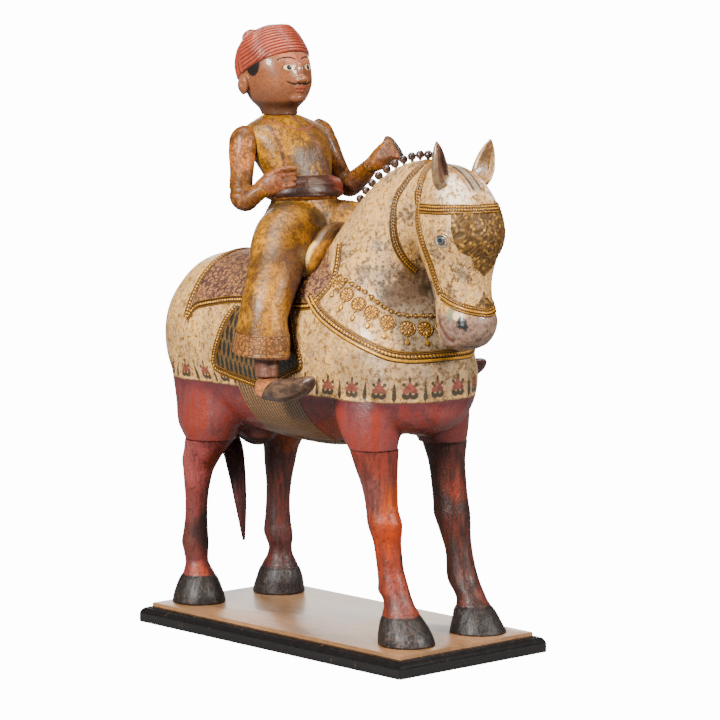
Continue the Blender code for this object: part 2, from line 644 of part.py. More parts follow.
SASH = [
    (0, 0.095, 0.818, 88, 0.062, 0.050, 0.050, 2, 2),
    (0, 0.096, 0.825, 88, 0.076, 0.063, 0.063, 2, 2),
    (0, 0.099, 0.842, 88, 0.081, 0.067, 0.066, 2, 2),
    (0, 0.103, 0.858, 88, 0.077, 0.064, 0.062, 2, 2),
    (0, 0.106, 0.866, 88, 0.064, 0.052, 0.050, 2, 2),
]
# Row: x, y, z, half thickness away from the horse, half width along it
THIGH = [
    (-0.030, 0.080, 0.772, 0.050, 0.056),
    (-0.078, 0.053, 0.757, 0.060, 0.060),
    (-0.117, 0.020, 0.733, 0.066, 0.059),
    (-0.155, -0.012, 0.700, 0.060, 0.057),
    (-0.182, -0.027, 0.660, 0.053, 0.055),
    (-0.200, -0.028, 0.620, 0.046, 0.054),
    (-0.203, -0.020, 0.580, 0.047, 0.055),
    (-0.204, -0.017, 0.551, 0.049, 0.059),
]
ANKLE = [
    (-0.204, -0.028, 0.580, 0.021, 0.022),
    (-0.204, -0.031, 0.545, 0.021, 0.022),
    (-0.204, -0.033, 0.5135, 0.021, 0.023),
]
FOOT = [
    (-0.202, -0.011, 0.488, 0, 0.008, 0.010, 0.010, 2, 2),
    (-0.202, -0.015, 0.490, 0, 0.016, 0.018, 0.017, 2, 2.4),
    (-0.203, -0.024, 0.492, 0, 0.021, 0.0205, 0.020, 2.6, 2.6),
    (-0.204, -0.042, 0.492, 0, 0.022, 0.0207, 0.0205, 2.6, 2.8),
    (-0.206, -0.062, 0.492, 0, 0.023, 0.0200, 0.0205, 2.2, 2.8),
    (-0.208, -0.090, 0.492, 0, 0.025, 0.0220, 0.0195, 2, 2.8),
    (-0.210, -0.118, 0.496, 0, 0.025, 0.0220, 0.0170, 2, 2.6),
    (-0.212, -0.145, 0.505, 0, 0.021, 0.0190, 0.0140, 2, 2.2),
    (-0.214, -0.163, 0.514, 0, 0.014, 0.0120, 0.0090, 2, 2),
    (-0.215, -0.171, 0.520, 0, 0.006, 0.0050, 0.0045, 2, 2),
]
ARM_RIGHT = [
    (-0.086, 0.156, 0.951, 0.014, 0.017),
    (-0.097, 0.155, 0.940, 0.021, 0.025),
    (-0.103, 0.152, 0.920, 0.022, 0.026),
    (-0.108, 0.148, 0.880, 0.021, 0.023),
    (-0.112, 0.146, 0.845, 0.020, 0.022),
    (-0.113, 0.143, 0.824, 0.020, 0.021),
    (-0.111, 0.134, 0.821, 0.020, 0.020),
    (-0.106, 0.123, 0.829, 0.019, 0.019),
    (-0.099, 0.112, 0.838, 0.017, 0.017),
    (-0.093, 0.103, 0.845, 0.015, 0.015),
]
HAND_RIGHT = [
    (-0.098, 0.112, 0.840, 0.016, 0.015),
    (-0.090, 0.099, 0.848, 0.019, 0.014),
    (-0.081, 0.087, 0.856, 0.020, 0.012),
    (-0.072, 0.076, 0.863, 0.017, 0.011),
    (-0.060, 0.065, 0.868, 0.013, 0.008),
]
ARM_LEFT = [
    (0.080, 0.157, 0.961, 0.012, 0.016),
    (0.090, 0.152, 0.949, 0.020, 0.023),
    (0.099, 0.145, 0.925, 0.022, 0.024),
    (0.107, 0.130, 0.886, 0.021, 0.022),
    (0.113, 0.115, 0.856, 0.021, 0.022),
    (0.115, 0.098, 0.842, 0.021, 0.022),
    (0.113, 0.070, 0.856, 0.020, 0.021),
    (0.107, 0.040, 0.873, 0.017, 0.018),
    (0.103, 0.020, 0.886, 0.014, 0.017),
]
HAND_LEFT = [
    (0.103, 0.022, 0.884, 0.015, 0.014),
    (0.108, 0.014, 0.890, 0.018, 0.016),
    (0.115, 0.006, 0.898, 0.021, 0.018),
    (0.124, -0.005, 0.908, 0.022, 0.017),
    (0.134, -0.018, 0.921, 0.022, 0.016),
]
SKULL = [
    (0, 0.164, 0.9783, 90, 0.034, 0.033, 0.033, 2, 2),
    (0, 0.165, 0.990, 90, 0.036, 0.034, 0.043, 2, 2),
    (0, 0.164, 1.004, 88, 0.047, 0.050, 0.060, 2, 2),
    (0, 0.167, 1.022, 84, 0.056, 0.064, 0.066, 2.1, 2),
    (0, 0.174, 1.045, 82, 0.061, 0.072, 0.072, 2.1, 2),
    (0, 0.182, 1.072, 80, 0.064, 0.072, 0.077, 2.1, 2),
    (0, 0.190, 1.098, 78, 0.058, 0.064, 0.072, 2.1, 2),
    (0, 0.196, 1.120, 76, 0.048, 0.048, 0.060, 2, 2),
    (0, 0.197, 1.135, 76, 0.020, 0.024, 0.024, 2, 2),
]
TURBAN = [
    (0, 0.1770, 1.0665, 63, 0.0660, 0.069, 0.077, 1.9, 2),
    (0, 0.1800, 1.0725, 63, 0.0685, 0.072, 0.080, 1.9, 2),
    (0, 0.1870, 1.0870, 63, 0.0690, 0.070, 0.080, 1.9, 2),
    (0, 0.1920, 1.1030, 64, 0.0660, 0.063, 0.076, 1.9, 2),
    (0, 0.1960, 1.1200, 66, 0.0570, 0.053, 0.065, 2, 2),
    (0, 0.1975, 1.1345, 70, 0.0400, 0.042, 0.046, 2, 2),
    (0, 0.1970, 1.1445, 76, 0.0120, 0.014, 0.014, 2, 2),
]
# Features on the middle line and, where x isn't 0, on both sides: centre, radii
FEATURES = [
    ((0, 0.1060, 1.0600), (0.0070, 0.0090, 0.0170)),
    ((0, 0.0980, 1.0465), (0.0085, 0.0120, 0.0075)),
    ((0.0085, 0.1030, 1.0445), (0.0055, 0.0080, 0.0050)),
    ((0, 0.1060, 1.0305), (0.0160, 0.0085, 0.0036)),
    ((0, 0.1070, 1.0240), (0.0125, 0.0085, 0.0042)),
    ((0, 0.1130, 1.0110), (0.0180, 0.0120, 0.0110)),
    ((0.0215, 0.1220, 1.0810), (0.0160, 0.0075, 0.0045)),
    ((0.0230, 0.1220, 1.0680), (0.0120, 0.0090, 0.0062)),
    ((0.0640, 0.1940, 1.0360), (0.0080, 0.0130, 0.0200)),
    ((0, 0.2440, 1.1200), (0.0195, 0.0175, 0.0170)),
]


def make_rider_body(horse, material, collection, cutters):
    bm = bmesh.new()
    for table in (HIPS, TORSO, SASH):
        body_loft(bm, table, count=18, sides=24)
    for table in (THIGH, mirrored(THIGH), ANKLE, mirrored(ANKLE)):
        limb_loft(bm, table, flat=(table[0][0], 0.0, 0.03), count=16, sides=18)
    rider = melted("rider_body", bm, 0.005, 4, 1000, collection)
    for side in (-1, 1):
        x = side * 0.204
        low, high = (x - 0.04, -0.09, 0.44), (x + 0.04, 0.03, 0.5135)
        combine(rider, box_cutter(low, high, cutters), "DIFFERENCE")
    combine(rider, box_cutter((-0.1, 0.05, 0.978), (0.1, 0.25, 1.2), cutters), "DIFFERENCE")
    combine(rider, swollen(horse, 0.0005, cutters), "DIFFERENCE")
    return finish(rider, material)


def make_arm(name, tables, body, material, collection, cutters):
    bm = bmesh.new()
    for table in tables:
        flat = (0.0, 0.0, 1.0) if table[0][2] < 0.9 else (1.0, 0.0, 0.0)
        limb_loft(bm, table, flat, count=14, sides=14)
    arm = melted(name, bm, 0.004, 3, 320, collection)
    combine(arm, swollen(body, 0.0005, cutters), "DIFFERENCE")
    return finish(arm, material)


def make_foot(name, table, material, collection):
    bm = bmesh.new()
    body_loft(bm, table, count=11, sides=10)
    foot = add_object(name, mesh_of(bm, name), material, collection)
    return finish(foot, material, 60.0)


def make_head(material, collection):
    bm = bmesh.new()
    body_loft(bm, SKULL, count=26, sides=24)
    body_loft(bm, TURBAN, count=20, sides=24)
    for (x, y, z), radii in FEATURES:
        for side in (-1, 1) if x else (1,):
            ball(bm, (side * x, y, z), radii)
    head = melted("rider_head", bm, 0.0030, 2, 860, collection)
    return finish(head, material)


def main():
    clear_scene()
    parts = new_collection("horse_and_rider")
    cutters = new_collection("cutters", hidden=True)
    brown = paint("board_brown", (0.36, 0.24, 0.14), 0.45)
    ebony = paint("ebonised", (0.03, 0.027, 0.028), 0.3)
    cream = paint("cream_paint", (0.62, 0.54, 0.42), 0.5)
    red = paint("red_paint", (0.42, 0.08, 0.04), 0.45)
    gilt = paint("gilt", (0.55, 0.33, 0.08), 0.35)
    ochre = paint("ochre_paint", (0.48, 0.27, 0.06), 0.4)
    skin = paint("skin_paint", (0.34, 0.13, 0.05), 0.35)
    make_board(brown, parts)
    long_run, short_run = BOARD_LENGTH, BOARD_WIDTH
    make_moulding("moulding_rear", short_run, long_run / 2, 0, ebony, parts)
    make_moulding("moulding_right", long_run, short_run / 2, 1, ebony, parts)
    make_moulding("moulding_front", short_run, long_run / 2, 2, ebony, parts)
    make_moulding("moulding_left", long_run, short_run / 2, 3, ebony, parts)
    horse = make_horse(cream, parts, cutters)
    for name, (rows, x, low, high) in LEGS.items():
        make_leg(name, rows, x, red, parts)
    make_tail(horse, red, parts, cutters)
    make_ear("ear_right", EAR, horse, cream, parts, cutters)
    make_ear("ear_left", mirrored(EAR), horse, cream, parts, cutters)
    make_beads(horse, ebony, parts)
    rider = make_rider_body(horse, ochre, parts, cutters)
    make_pommel(horse, rider, gilt, parts, cutters)
    make_arm("arm_right", (ARM_RIGHT, HAND_RIGHT), rider, skin, parts, cutters)
    make_arm("arm_left", (ARM_LEFT, HAND_LEFT), rider, skin, parts, cutters)
    make_foot("foot_right", FOOT, skin, parts)
    make_foot("foot_left", mirrored(FOOT), skin, parts)
    make_head(skin, parts)


main()
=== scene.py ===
"""Painted and lacquered wooden horse with its rider, on a board with an ebonised moulding.

Metres, +Z up. The horse faces -Y, and its right side, at -X, is the near side in the camera.
"""
import math

import bmesh
import bpy
import numpy as np
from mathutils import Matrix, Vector


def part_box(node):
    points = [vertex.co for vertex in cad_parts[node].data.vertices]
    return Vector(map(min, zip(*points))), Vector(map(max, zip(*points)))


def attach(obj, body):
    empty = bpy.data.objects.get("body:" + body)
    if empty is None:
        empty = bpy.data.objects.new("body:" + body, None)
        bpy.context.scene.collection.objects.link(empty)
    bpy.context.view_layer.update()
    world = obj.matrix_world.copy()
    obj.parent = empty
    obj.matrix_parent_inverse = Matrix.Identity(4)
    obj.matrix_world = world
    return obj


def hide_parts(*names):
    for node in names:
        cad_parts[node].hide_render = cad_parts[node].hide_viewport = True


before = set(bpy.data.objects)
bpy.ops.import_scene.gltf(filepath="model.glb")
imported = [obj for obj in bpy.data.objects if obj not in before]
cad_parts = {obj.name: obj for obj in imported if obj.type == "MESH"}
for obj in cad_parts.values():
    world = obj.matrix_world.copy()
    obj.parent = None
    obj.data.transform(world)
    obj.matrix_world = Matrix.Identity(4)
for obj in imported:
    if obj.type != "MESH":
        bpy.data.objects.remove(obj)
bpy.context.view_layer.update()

# Camera: a long lens about six metres off, to the right of the horse's front and a little above
# the rider's foot, where the photograph was taken from.
photo_turn = math.radians(-42.32)
photo_rise = math.radians(6.49)
photo_reach = 6.166
aim_aside, aim_height = 0.041, 0.525
away = Vector((math.sin(photo_turn) * math.cos(photo_rise),
               -math.cos(photo_turn) * math.cos(photo_rise), math.sin(photo_rise)))
looked_at = Vector((aim_aside * math.cos(photo_turn), aim_aside * math.sin(photo_turn), aim_height))
camera = bpy.data.objects.new("camera", bpy.data.cameras.new("camera"))
camera.data.lens = 165
camera.data.clip_end = 40
camera.location = looked_at + away * photo_reach
camera.rotation_euler = away.to_track_quat("Z", "Y").to_euler()
bpy.context.collection.objects.link(camera)
bpy.context.scene.camera = camera


# Plinth board: one flat plank of light brown wood, its arrises eased with a plane and its top
# rubbed with varnish. It carries the hooves.

def chip(red, green, blue):
    """Shader colour of a paint that photographs in this light as a chip with values from 0 to 255.

    In words: each value is drawn a quarter of the way to their mean, its odds against white are
    raised to 1.18, and what results is spread from its mean again and divided by the light; a paint
    too bright for that keeps its hue.
    """
    value = np.array([red, green, blue]) / 255
    value = value.mean() + 0.77 * (value - value.mean())
    value = 0.23 * (value / (1 - value)) ** 1.18
    value = value.mean() + 1.3 * (value - value.mean())
    value = (value / 2.1).clip(0.002, None)
    return (*(value * min(1.0, 0.88 / value.max())).tolist(), 1.0)


class Tone:
    """A number that changes over a surface. Arithmetic with tones adds Math nodes."""

    def __init__(self, nodes, socket):
        self.nodes, self.socket = nodes, socket

    def math(self, operation, *others, clamp=False):
        """A Math node on this tone and the others."""
        node = self.nodes.new("ShaderNodeMath")
        node.operation, node.use_clamp = operation, clamp
        for entry, value in zip(node.inputs, (self, *others)):
            if isinstance(value, Tone):
                self.nodes.id_data.links.new(value.socket, entry)
            else:
                entry.default_value = value
        return Tone(self.nodes, node.outputs[0])

    def __add__(self, other):
        return self.math("ADD", other)

    def __sub__(self, other):
        return self.math("SUBTRACT", other)

    def __rsub__(self, other):
        return self.math("MULTIPLY_ADD", -1.0, other)

    def __mul__(self, other):
        return self.math("MULTIPLY", other)

    def __truediv__(self, other):
        return self.math("DIVIDE", other)

    def __pow__(self, other):
        return self.math("POWER", other)

    def __abs__(self):
        return self.math("ABSOLUTE")

    def least(self, other):
        """The smaller of two numbers."""
        return self.math("MINIMUM", other)

    def most(self, other):
        """The larger of two numbers."""
        return self.math("MAXIMUM", other)

    def wrapped(self, pitch):
        """Distance from the middle of the repeat that the point is in."""
        return (self / pitch).math("FRACT") * pitch - pitch / 2

    def past(self, at, soft):
        """0 well below at and 1 well above it, turning over a width of soft."""
        return ((self - at) / soft).math("ADD", 0.5, clamp=True)

    def under(self, at, soft):
        """The rest of past: 1 well below at and 0 well above it."""
        return 1 - self.past(at, soft)

    def between(self, low, high, soft):
        """1 from low to high, and 0 beyond them."""
        return self.past(low, soft) * self.under(high, soft)

    def reach(self, *others):
        """Length of the vector whose parts are this tone and the others."""
        total = self * self
        for other in others:
            total = other.math("MULTIPLY_ADD", other, total)
        return total.math("SQRT")


class Paint:
    """One finish: a Principled shader, with means to work out its colour, gloss and relief."""

    def __init__(self, name):
        self.material = bpy.data.materials.new(name)
        self.material.use_nodes = True
        self.nodes = self.material.node_tree.nodes
        self.links = self.material.node_tree.links
        self.shader = self.nodes["Principled BSDF"]
        self.place = self.nodes.new("ShaderNodeTexCoord").outputs["Object"]
        parts = self.nodes.new("ShaderNodeSeparateXYZ")
        self.links.new(self.place, parts.inputs[0])
        self.x, self.y, self.z = (Tone(self.nodes, part) for part in parts.outputs)

    def put(self, entry, value):
        """Gives an entry its value, by a link where the value changes over the surface."""
        if isinstance(value, Tone):
            value = value.socket
        if isinstance(value, bpy.types.NodeSocket):
            self.links.new(value, entry)
        else:
            entry.default_value = value

    def stored(self, name):
        """A number kept at each point of the mesh."""
        node = self.nodes.new("ShaderNodeAttribute")
        node.attribute_name = name
        return Tone(self.nodes, node.outputs["Fac"])

    def scaled(self, stretch):
        """The place in space, stretched."""
        node = self.nodes.new("ShaderNodeMapping")
        self.links.new(self.place, node.inputs["Vector"])
        node.inputs["Scale"].default_value = stretch
        return node.outputs[0]

    def clouds(self, scale, detail=4.0, rough=0.6, stretch=None, twist=0.0):
        """Soft noise from 0 to 1 with scale patches to the metre."""
        node = self.nodes.new("ShaderNodeTexNoise")
        self.links.new(self.scaled(stretch) if stretch else self.place, node.inputs["Vector"])
        node.inputs["Scale"].default_value = scale
        node.inputs["Detail"].default_value = detail
        node.inputs["Roughness"].default_value = rough
        node.inputs["Distortion"].default_value = twist
        return Tone(self.nodes, node.outputs[0])

    def cells(self, scale, feature="F1"):
        """Distance from the nearest of many scattered spots, scale of them to the metre."""
        node = self.nodes.new("ShaderNodeTexVoronoi")
        node.feature = feature
        self.links.new(self.place, node.inputs["Vector"])
        node.inputs["Scale"].default_value = scale
        return Tone(self.nodes, node.outputs["Distance"])

    def near(self, *places, mirrored=True):
        """1 at a place, falling evenly to 0 at its radius, alike on both sides of the horse; the
        highest counts. A place: x, y, z and radius in millimetres."""
        side, share = abs(self.x) if mirrored else self.x, None
        for x, y, z, radius in np.array(places) / 1000:
            here = (1 - (side - x).reach(self.y - y, self.z - z) / radius).most(0.0)
            share = share.most(here) if share else here
        return share

    def mix(self, share, first, second):
        """One colour over another by a share. A colour of three numbers is a chip."""
        node = self.nodes.new("ShaderNodeMix")
        node.data_type = "RGBA"
        self.put(node.inputs[0], share)
        for entry, colour in ((6, first), (7, second)):
            plain = isinstance(colour, tuple) and len(colour) == 3
            self.put(node.inputs[entry], chip(*colour) if plain else colour)
        return node.outputs[2]

    def coats(self, colour, *layers):
        """Coats laid one over another on a first colour. A layer: the share it covers, its colour."""
        for share, layer in layers:
            colour = self.mix(share, colour, layer)
        return colour

    def aged(self, colour, dirt, share=0.6, grain=1.0, keep=1.0):
        """Age over a colour. In words: specks, a net of cracks broken by cloudy grime, and patches
        where the specks run together, all in the colour of the dirt; keep thins it out."""
        specks, grime = self.clouds(120 / grain, 5, 0.74), self.clouds(30 / grain, 6, 0.72)
        cracks = self.cells(120 / grain, feature="DISTANCE_TO_EDGE") + (specks - 0.5) * 0.2
        broken = cracks.under(0.06, 0.05) * grime.past(0.44, 0.12)
        patches = grime.past(0.56, 0.08) * specks.past(0.46, 0.08)
        wash = specks.past(0.55, 0.08)
        return self.mix(wash.most(broken).most(patches) * keep * share, colour, dirt), specks, grime

    def laid(self, colour, roughness, *reliefs, coat=(0.0, 0.03), specular=0.5, metal=0.0):
        """Finishes the shader. A relief is a tone and the depth in metres that it stands for; coat is
        the varnish's weight and roughness."""
        for entry, value in (("Base Color", colour), ("Roughness", roughness), ("Coat Weight", coat[0]),
                             ("Coat Roughness", coat[1]), ("Specular IOR Level", specular),
                             ("Metallic", metal)):
            self.put(self.shader.inputs[entry], value)
        normal = None
        for height, depth in reliefs:
            node = self.nodes.new("ShaderNodeBump")
            node.inputs["Distance"].default_value = depth
            self.put(node.inputs["Height"], height)
            if normal:
                self.links.new(normal, node.inputs["Normal"])
            normal = node.outputs["Normal"]
        if normal:
            self.links.new(normal, self.shader.inputs["Normal"])
        return self.material


def skin(name, forms, marks=None):
    """A closed mesh over forms, each an array of rings of points. In words: a point is joined to the
    next on its ring and to the same two on the next ring, and each end ring is closed to its middle.
    marks names numbers to be kept at the points, as arrays of the forms' own size."""
    points, faces, start = [], [], 0
    kept = {mark: [] for mark in marks or ()}
    for number, form in enumerate(forms):
        rings, sides = form.shape[:2]
        corner = start + np.arange(rings * sides).reshape(rings, sides)
        turned = np.roll(corner, -1, axis=1)
        ends = start + rings * sides + np.zeros(sides, int)
        walls = np.stack([corner[:-1], turned[:-1], turned[1:], corner[1:]], axis=-1).reshape(-1, 4)
        faces += walls.tolist()
        faces += np.stack([ends, turned[0], corner[0]], axis=-1).tolist()
        faces += np.stack([ends + 1, corner[-1], turned[-1]], axis=-1).tolist()
        points += [form.reshape(-1, 3), form[[0, -1]].mean(axis=1)]
        for mark in kept:
            value = marks[mark][number]
            kept[mark] += [value.ravel(), value[[0, -1]].mean(axis=1)]
        start += rings * sides + 2
    mesh = bpy.data.meshes.new(name)
    mesh.from_pydata(np.concatenate(points).tolist(), [], faces)
    for mark, values in kept.items():
        mesh.attributes.new(mark, "FLOAT", "POINT").data.foreach_set("value", np.concatenate(values))
    outward = bmesh.new()
    outward.from_mesh(mesh)
    bmesh.ops.recalc_face_normals(outward, faces=outward.faces)
    outward.to_mesh(mesh)
    outward.free()
    piece = bpy.data.objects.new(name, mesh)
    bpy.context.collection.objects.link(piece)
    return piece


def fix(piece, finish, slot, *solids, crisp=180.0):
    """Paints a finished piece, ties it to the part's one body and hides the solids that it stands for."""
    piece.data.materials.clear()
    piece.data.materials.append(finish)
    piece.data.shade_smooth()
    if crisp < 180.0:
        piece.data.set_sharp_from_angle(angle=math.radians(crisp))
    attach(piece, "root")
    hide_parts(*solids)
    return piece


def full_turn(sides):
    """Angles once round, the last one short of the first."""
    return np.linspace(0, 2 * np.pi, sides, endpoint=False)


def oblong_rings(box_low, box_high, levels):
    """Rectangular rings. In words: the unit circle, pushed out to a square by dividing each point by
    its larger coordinate, scaled to half the board's width and length less an inset."""
    turn = full_turn(96)
    square = np.stack([np.cos(turn), np.sin(turn)], axis=-1)
    square /= np.abs(square).max(axis=-1, keepdims=True)
    inset, height = np.array(levels).T[..., None]
    half = (np.array(box_high) - np.array(box_low)) / 2
    middle = (np.array(box_high) + np.array(box_low)) / 2
    across = middle[0] + square[:, 0] * (half[0] - inset)
    along = middle[1] + square[:, 1] * (half[1] - inset)
    return np.stack([across, along, np.broadcast_to(height, across.shape)], axis=-1)


board_low, board_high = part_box("plinth_board")
board_top = board_high[2]
arris = 0.0012
board = skin("board", [oblong_rings(board_low, board_high, [(arris, 0.0), (0.0, arris),
    (0.0, board_top - arris), (0.3 * arris, board_top - 0.3 * arris), (arris, board_top)])])

oak = Paint("rubbed_board")
oak_rings = oak.clouds(9.0, 3, 0.5, stretch=(6.0, 0.5, 6.0), twist=0.8)
oak_pores = oak.clouds(110.0, 5, 0.72, stretch=(3.0, 0.5, 3.0))
oak_wear = oak.clouds(7.0, 5, 0.6, stretch=(1.0, 0.6, 1.0))
oak_colour = oak.coats(
    (150, 110, 72),
    (oak_rings.past(0.5, 0.5), (180, 140, 98)),
    (oak_pores.past(0.56, 0.14) * 0.6, (120, 84, 54)),
    (oak_wear.past(0.56, 0.25) * 0.4, (204, 174, 146)),
    (oak.clouds(420.0, 2).past(0.7, 0.06) * 0.5, (90, 66, 50)))
fix(board, oak.laid(oak_colour, oak_wear * 0.2 + 0.27, (oak_pores, 0.0006), (oak_wear, 0.004),
    coat=(0.25, 0.2), specular=0.35), "board_brown", "plinth_board", crisp=35.0)


# Mouldings: four strips with a round shoulder, mitred at the corners and pinned round the board.
# Ebonised and waxed, with the brown wood showing where the edges are rubbed.

def moulding_rings(top, quarter, count=60):
    """One strip round the plinth. In words: the section, a flat foot and side under a quarter round,
    stands at each step along the run, and each of its points reaches along the run by its own
    distance out, so that the ends are mitred."""
    run = board_high[quarter % 2] - board_low[quarter % 2]
    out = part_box("moulding_rear")[1][1] - board_high[1]
    roll, gap = out - 0.003, 0.0003
    shoulder = np.radians(np.linspace(0, 90, 40))
    quirk = 1 - 0.15 * np.exp(-((np.linspace(0, 90, 40) - 70) / 5) ** 2)
    reach = np.concatenate([[gap, out - 0.002, out - 0.0006, out], out - roll + roll * np.cos(shoulder)
        * quirk, [0.0022, 0.0014, gap]])
    rise = np.concatenate([[0.0, 0.0, 0.0006, 0.002], top - roll + roll * np.sin(shoulder) * quirk - 0.0008,
        [top - 0.0006, top, top]])
    at = np.linspace(-1, 1, count)[:, None]
    along = at * (run / 2 + reach - gap)
    other = (board_high[1 - quarter % 2] - board_low[1 - quarter % 2]) / 2 + reach
    wave = 0.0002 * np.sin(at * 9 + quarter) * (1 - at ** 2)
    flat = np.stack(np.broadcast_arrays(along, other + wave, rise), axis=-1)
    turn = quarter * np.pi / 2
    spun = flat[..., :2] @ np.array([[np.cos(turn), np.sin(turn)], [-np.sin(turn), np.cos(turn)]])
    return np.concatenate([spun, flat[..., 2:]], axis=-1)


ebony = Paint("ebonised_wax")
ebony_grain = ebony.clouds(60.0, 4, 0.6, stretch=(1.0, 1.0, 5.0))
ebony_rub = ebony.clouds(55.0, 5, 0.65)
ebony_colour = ebony.coats(
    (14, 12, 13),
    (ebony_grain.past(0.5, 0.4), (28, 24, 24)),
    (ebony_rub.past(0.66, 0.06), (86, 58, 34)),
    (ebony.z.past(board_high[2] - 0.0085, 0.001) * 0.5, (14, 12, 12)))
ebony_finish = ebony.laid(ebony_colour, ebony_rub * 0.2 + 0.14, (ebony_grain, 0.00005), coat=(0.3, 0.1),
    specular=0.35)
for quarter, side in enumerate(("rear", "right", "front", "left")):
    strip_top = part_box("moulding_" + side)[1][2]
    strip = skin("moulding_strip_" + side, [moulding_rings(strip_top, quarter)])
    fix(strip, ebony_finish, "ebonised", "moulding_" + side, crisp=50.0)


# Horse: trunk, neck and head are carved from one block and end at the joints across the four upper
# legs. It is primed and painted cream down to a level line and red below it, with a border of
# flowers above the line, then lacquered; the lacquer has crazed and browned.

def mm(rows, *plain):
    """A table in millimetres as metres. The plain columns, of degrees and squareness, stay."""
    rows = np.array(rows, float)
    rows[:, [column for column in range(rows.shape[1]) if column not in plain]] /= 1000
    return rows


def drawn(rows, count):
    """A table's rows joined by a smooth curve. In words: cubic spans whose slopes at each row are
    the change between its neighbours over their distance, read off at even steps along it."""
    rows = np.array(rows, float)
    steps = np.linalg.norm(np.diff(rows[:, :3], axis=0), axis=1)
    knots = np.append(0.0, np.cumsum(steps))
    slopes = np.gradient(rows, knots, axis=0)
    at = np.linspace(0, knots[-1], count)
    near = np.clip(np.searchsorted(knots, at, side="right") - 1, 0, len(knots) - 2)
    span = (knots[near + 1] - knots[near])[:, None]
    s = (at - knots[near])[:, None] / span
    begin = (2 * s**3 - 3 * s**2 + 1) * rows[near] + (s**3 - 2 * s**2 + s) * span * slopes[near]
    return begin + (3 * s**2 - 2 * s**3) * rows[near + 1] + (s**3 - s**2) * span * slopes[near + 1]


def rounded(sides, wide, rise, fall, top=2.0, bottom=2.0):
    """Sections fuller than an ellipse. In words: cosine and sine of the turn, each to the power of
    two over the squareness, times the half width and the rise above or the fall below."""
    turn = full_turn(sides)
    cosine, sine = np.cos(turn), np.sin(turn)
    power = np.where(sine >= 0, 2 / top, 2 / bottom)
    up = np.sign(sine) * np.abs(sine) ** power
    return wide * np.sign(cosine) * np.abs(cosine) ** power, up * np.where(up >= 0, rise, fall)


def body_form(table, count=60, sides=56):
    """Sections square to the YZ plane. A row: x, y, z, lean in degrees, half width, rise, fall,
    squareness above and below. In words: each section stands at its row's point, and its rise
    leans from +Z towards -Y."""
    x, y, z, lean, wide, rise, fall, top, bottom = drawn(table, count).T[..., None]
    across, up = rounded(sides, wide, rise, fall, top, bottom)
    lean = np.radians(lean)
    return np.stack([x + across, y - up * np.sin(lean), z + up * np.cos(lean)], axis=-1)


def limb_form(table, flat, count=60, sides=40):
    """A tapering limb. A row: x, y, z, half thickness along flat, half thickness across it. In
    words: ellipses square to the curve through the rows, turned so that one axis lies along flat."""
    rows = drawn(table, count)
    heading = np.gradient(rows[:, :3], axis=0)
    side = np.cross(heading, flat)
    side /= np.linalg.norm(side, axis=1, keepdims=True)
    high = np.cross(side, heading)
    high /= np.linalg.norm(high, axis=1, keepdims=True)
    across, up = rounded(sides, rows[:, 4:5], rows[:, 3:4], rows[:, 3:4])
    return rows[:, None, :3] + across[..., None] * side[:, None] + up[..., None] * high[:, None]


def mirrored(table):
    """The same table on the other side of the YZ plane."""
    return np.array(table, float) * np.array([-1.0] + [1.0] * (len(table[0]) - 1))


def egg(centre, radii, rings=24, sides=32):
    """An ellipsoid as rings. In words: radii times the sine and cosine of the latitude."""
    rise = np.linspace(-1.5, 1.5, rings)[:, None]
    turn = full_turn(sides)
    unit = np.stack(np.broadcast_arrays(np.cos(rise) * np.cos(turn), np.cos(rise) * np.sin(turn),
        np.sin(rise)), axis=-1)
    return np.array(centre) + unit * np.array(radii)


def settle_modifiers(piece):
    """The modifiers' result becomes the piece's own mesh."""
    bpy.context.view_layer.update()
    mesh = bpy.data.meshes.new_from_object(piece.evaluated_get(bpy.context.evaluated_depsgraph_get()))
    piece.modifiers.clear()
    piece.data = mesh
    return piece


def melt(name, forms, voxel, rubs):
    """Forms carved out of one block. In words: their overlapping shells become one skin at the voxel
    size, and each point then moves half way to the mean of its neighbours, rubs times."""
    piece = skin(name, forms)
    remesh = piece.modifiers.new("one block", "REMESH")
    remesh.mode, remesh.voxel_size = "VOXEL", voxel
    rub = piece.modifiers.new("rubbed down", "SMOOTH")
    rub.factor, rub.iterations = 0.5, rubs
    return settle_modifiers(piece)


def points_of(piece, what="co"):
    """The points of a piece, or their normals."""
    found = np.empty(len(piece.data.vertices) * 3)
    piece.data.vertices.foreach_get(what, found)
    return found.reshape(-1, 3)


def reshape(piece, points):
    """Moves a piece's points to new places."""
    piece.data.vertices.foreach_set("co", points.ravel())
    piece.data.update()


def pressed(piece, marks):
    """Shallow hollows and swellings. A mark: x, y, z, reach, height. In words: a point moves along
    its normal by the height times e to minus the square of its distance over the reach."""
    points, normals = points_of(piece), points_of(piece, "normal")
    marks = np.array(marks)
    folded = points * [1, 1, 1]
    folded[:, 0] = -np.abs(folded[:, 0])
    for x, y, z, reach, height in marks:
        far = ((folded - [x, y, z]) ** 2).sum(axis=1)
        points += normals * (height * np.exp(-far / reach ** 2))[:, None]
    reshape(piece, points)


def finer(piece, chosen):
    """Splits each edge between the chosen points in two."""
    mesh = bmesh.new()
    mesh.from_mesh(piece.data)
    mesh.verts.ensure_lookup_table()
    edges = [edge for edge in mesh.edges if chosen[edge.verts[0].index] and chosen[edge.verts[1].index]]
    bmesh.ops.subdivide_edges(mesh, edges=edges, cuts=1, use_grid_fill=True, smooth=0.6)
    mesh.to_mesh(piece.data)
    mesh.free()


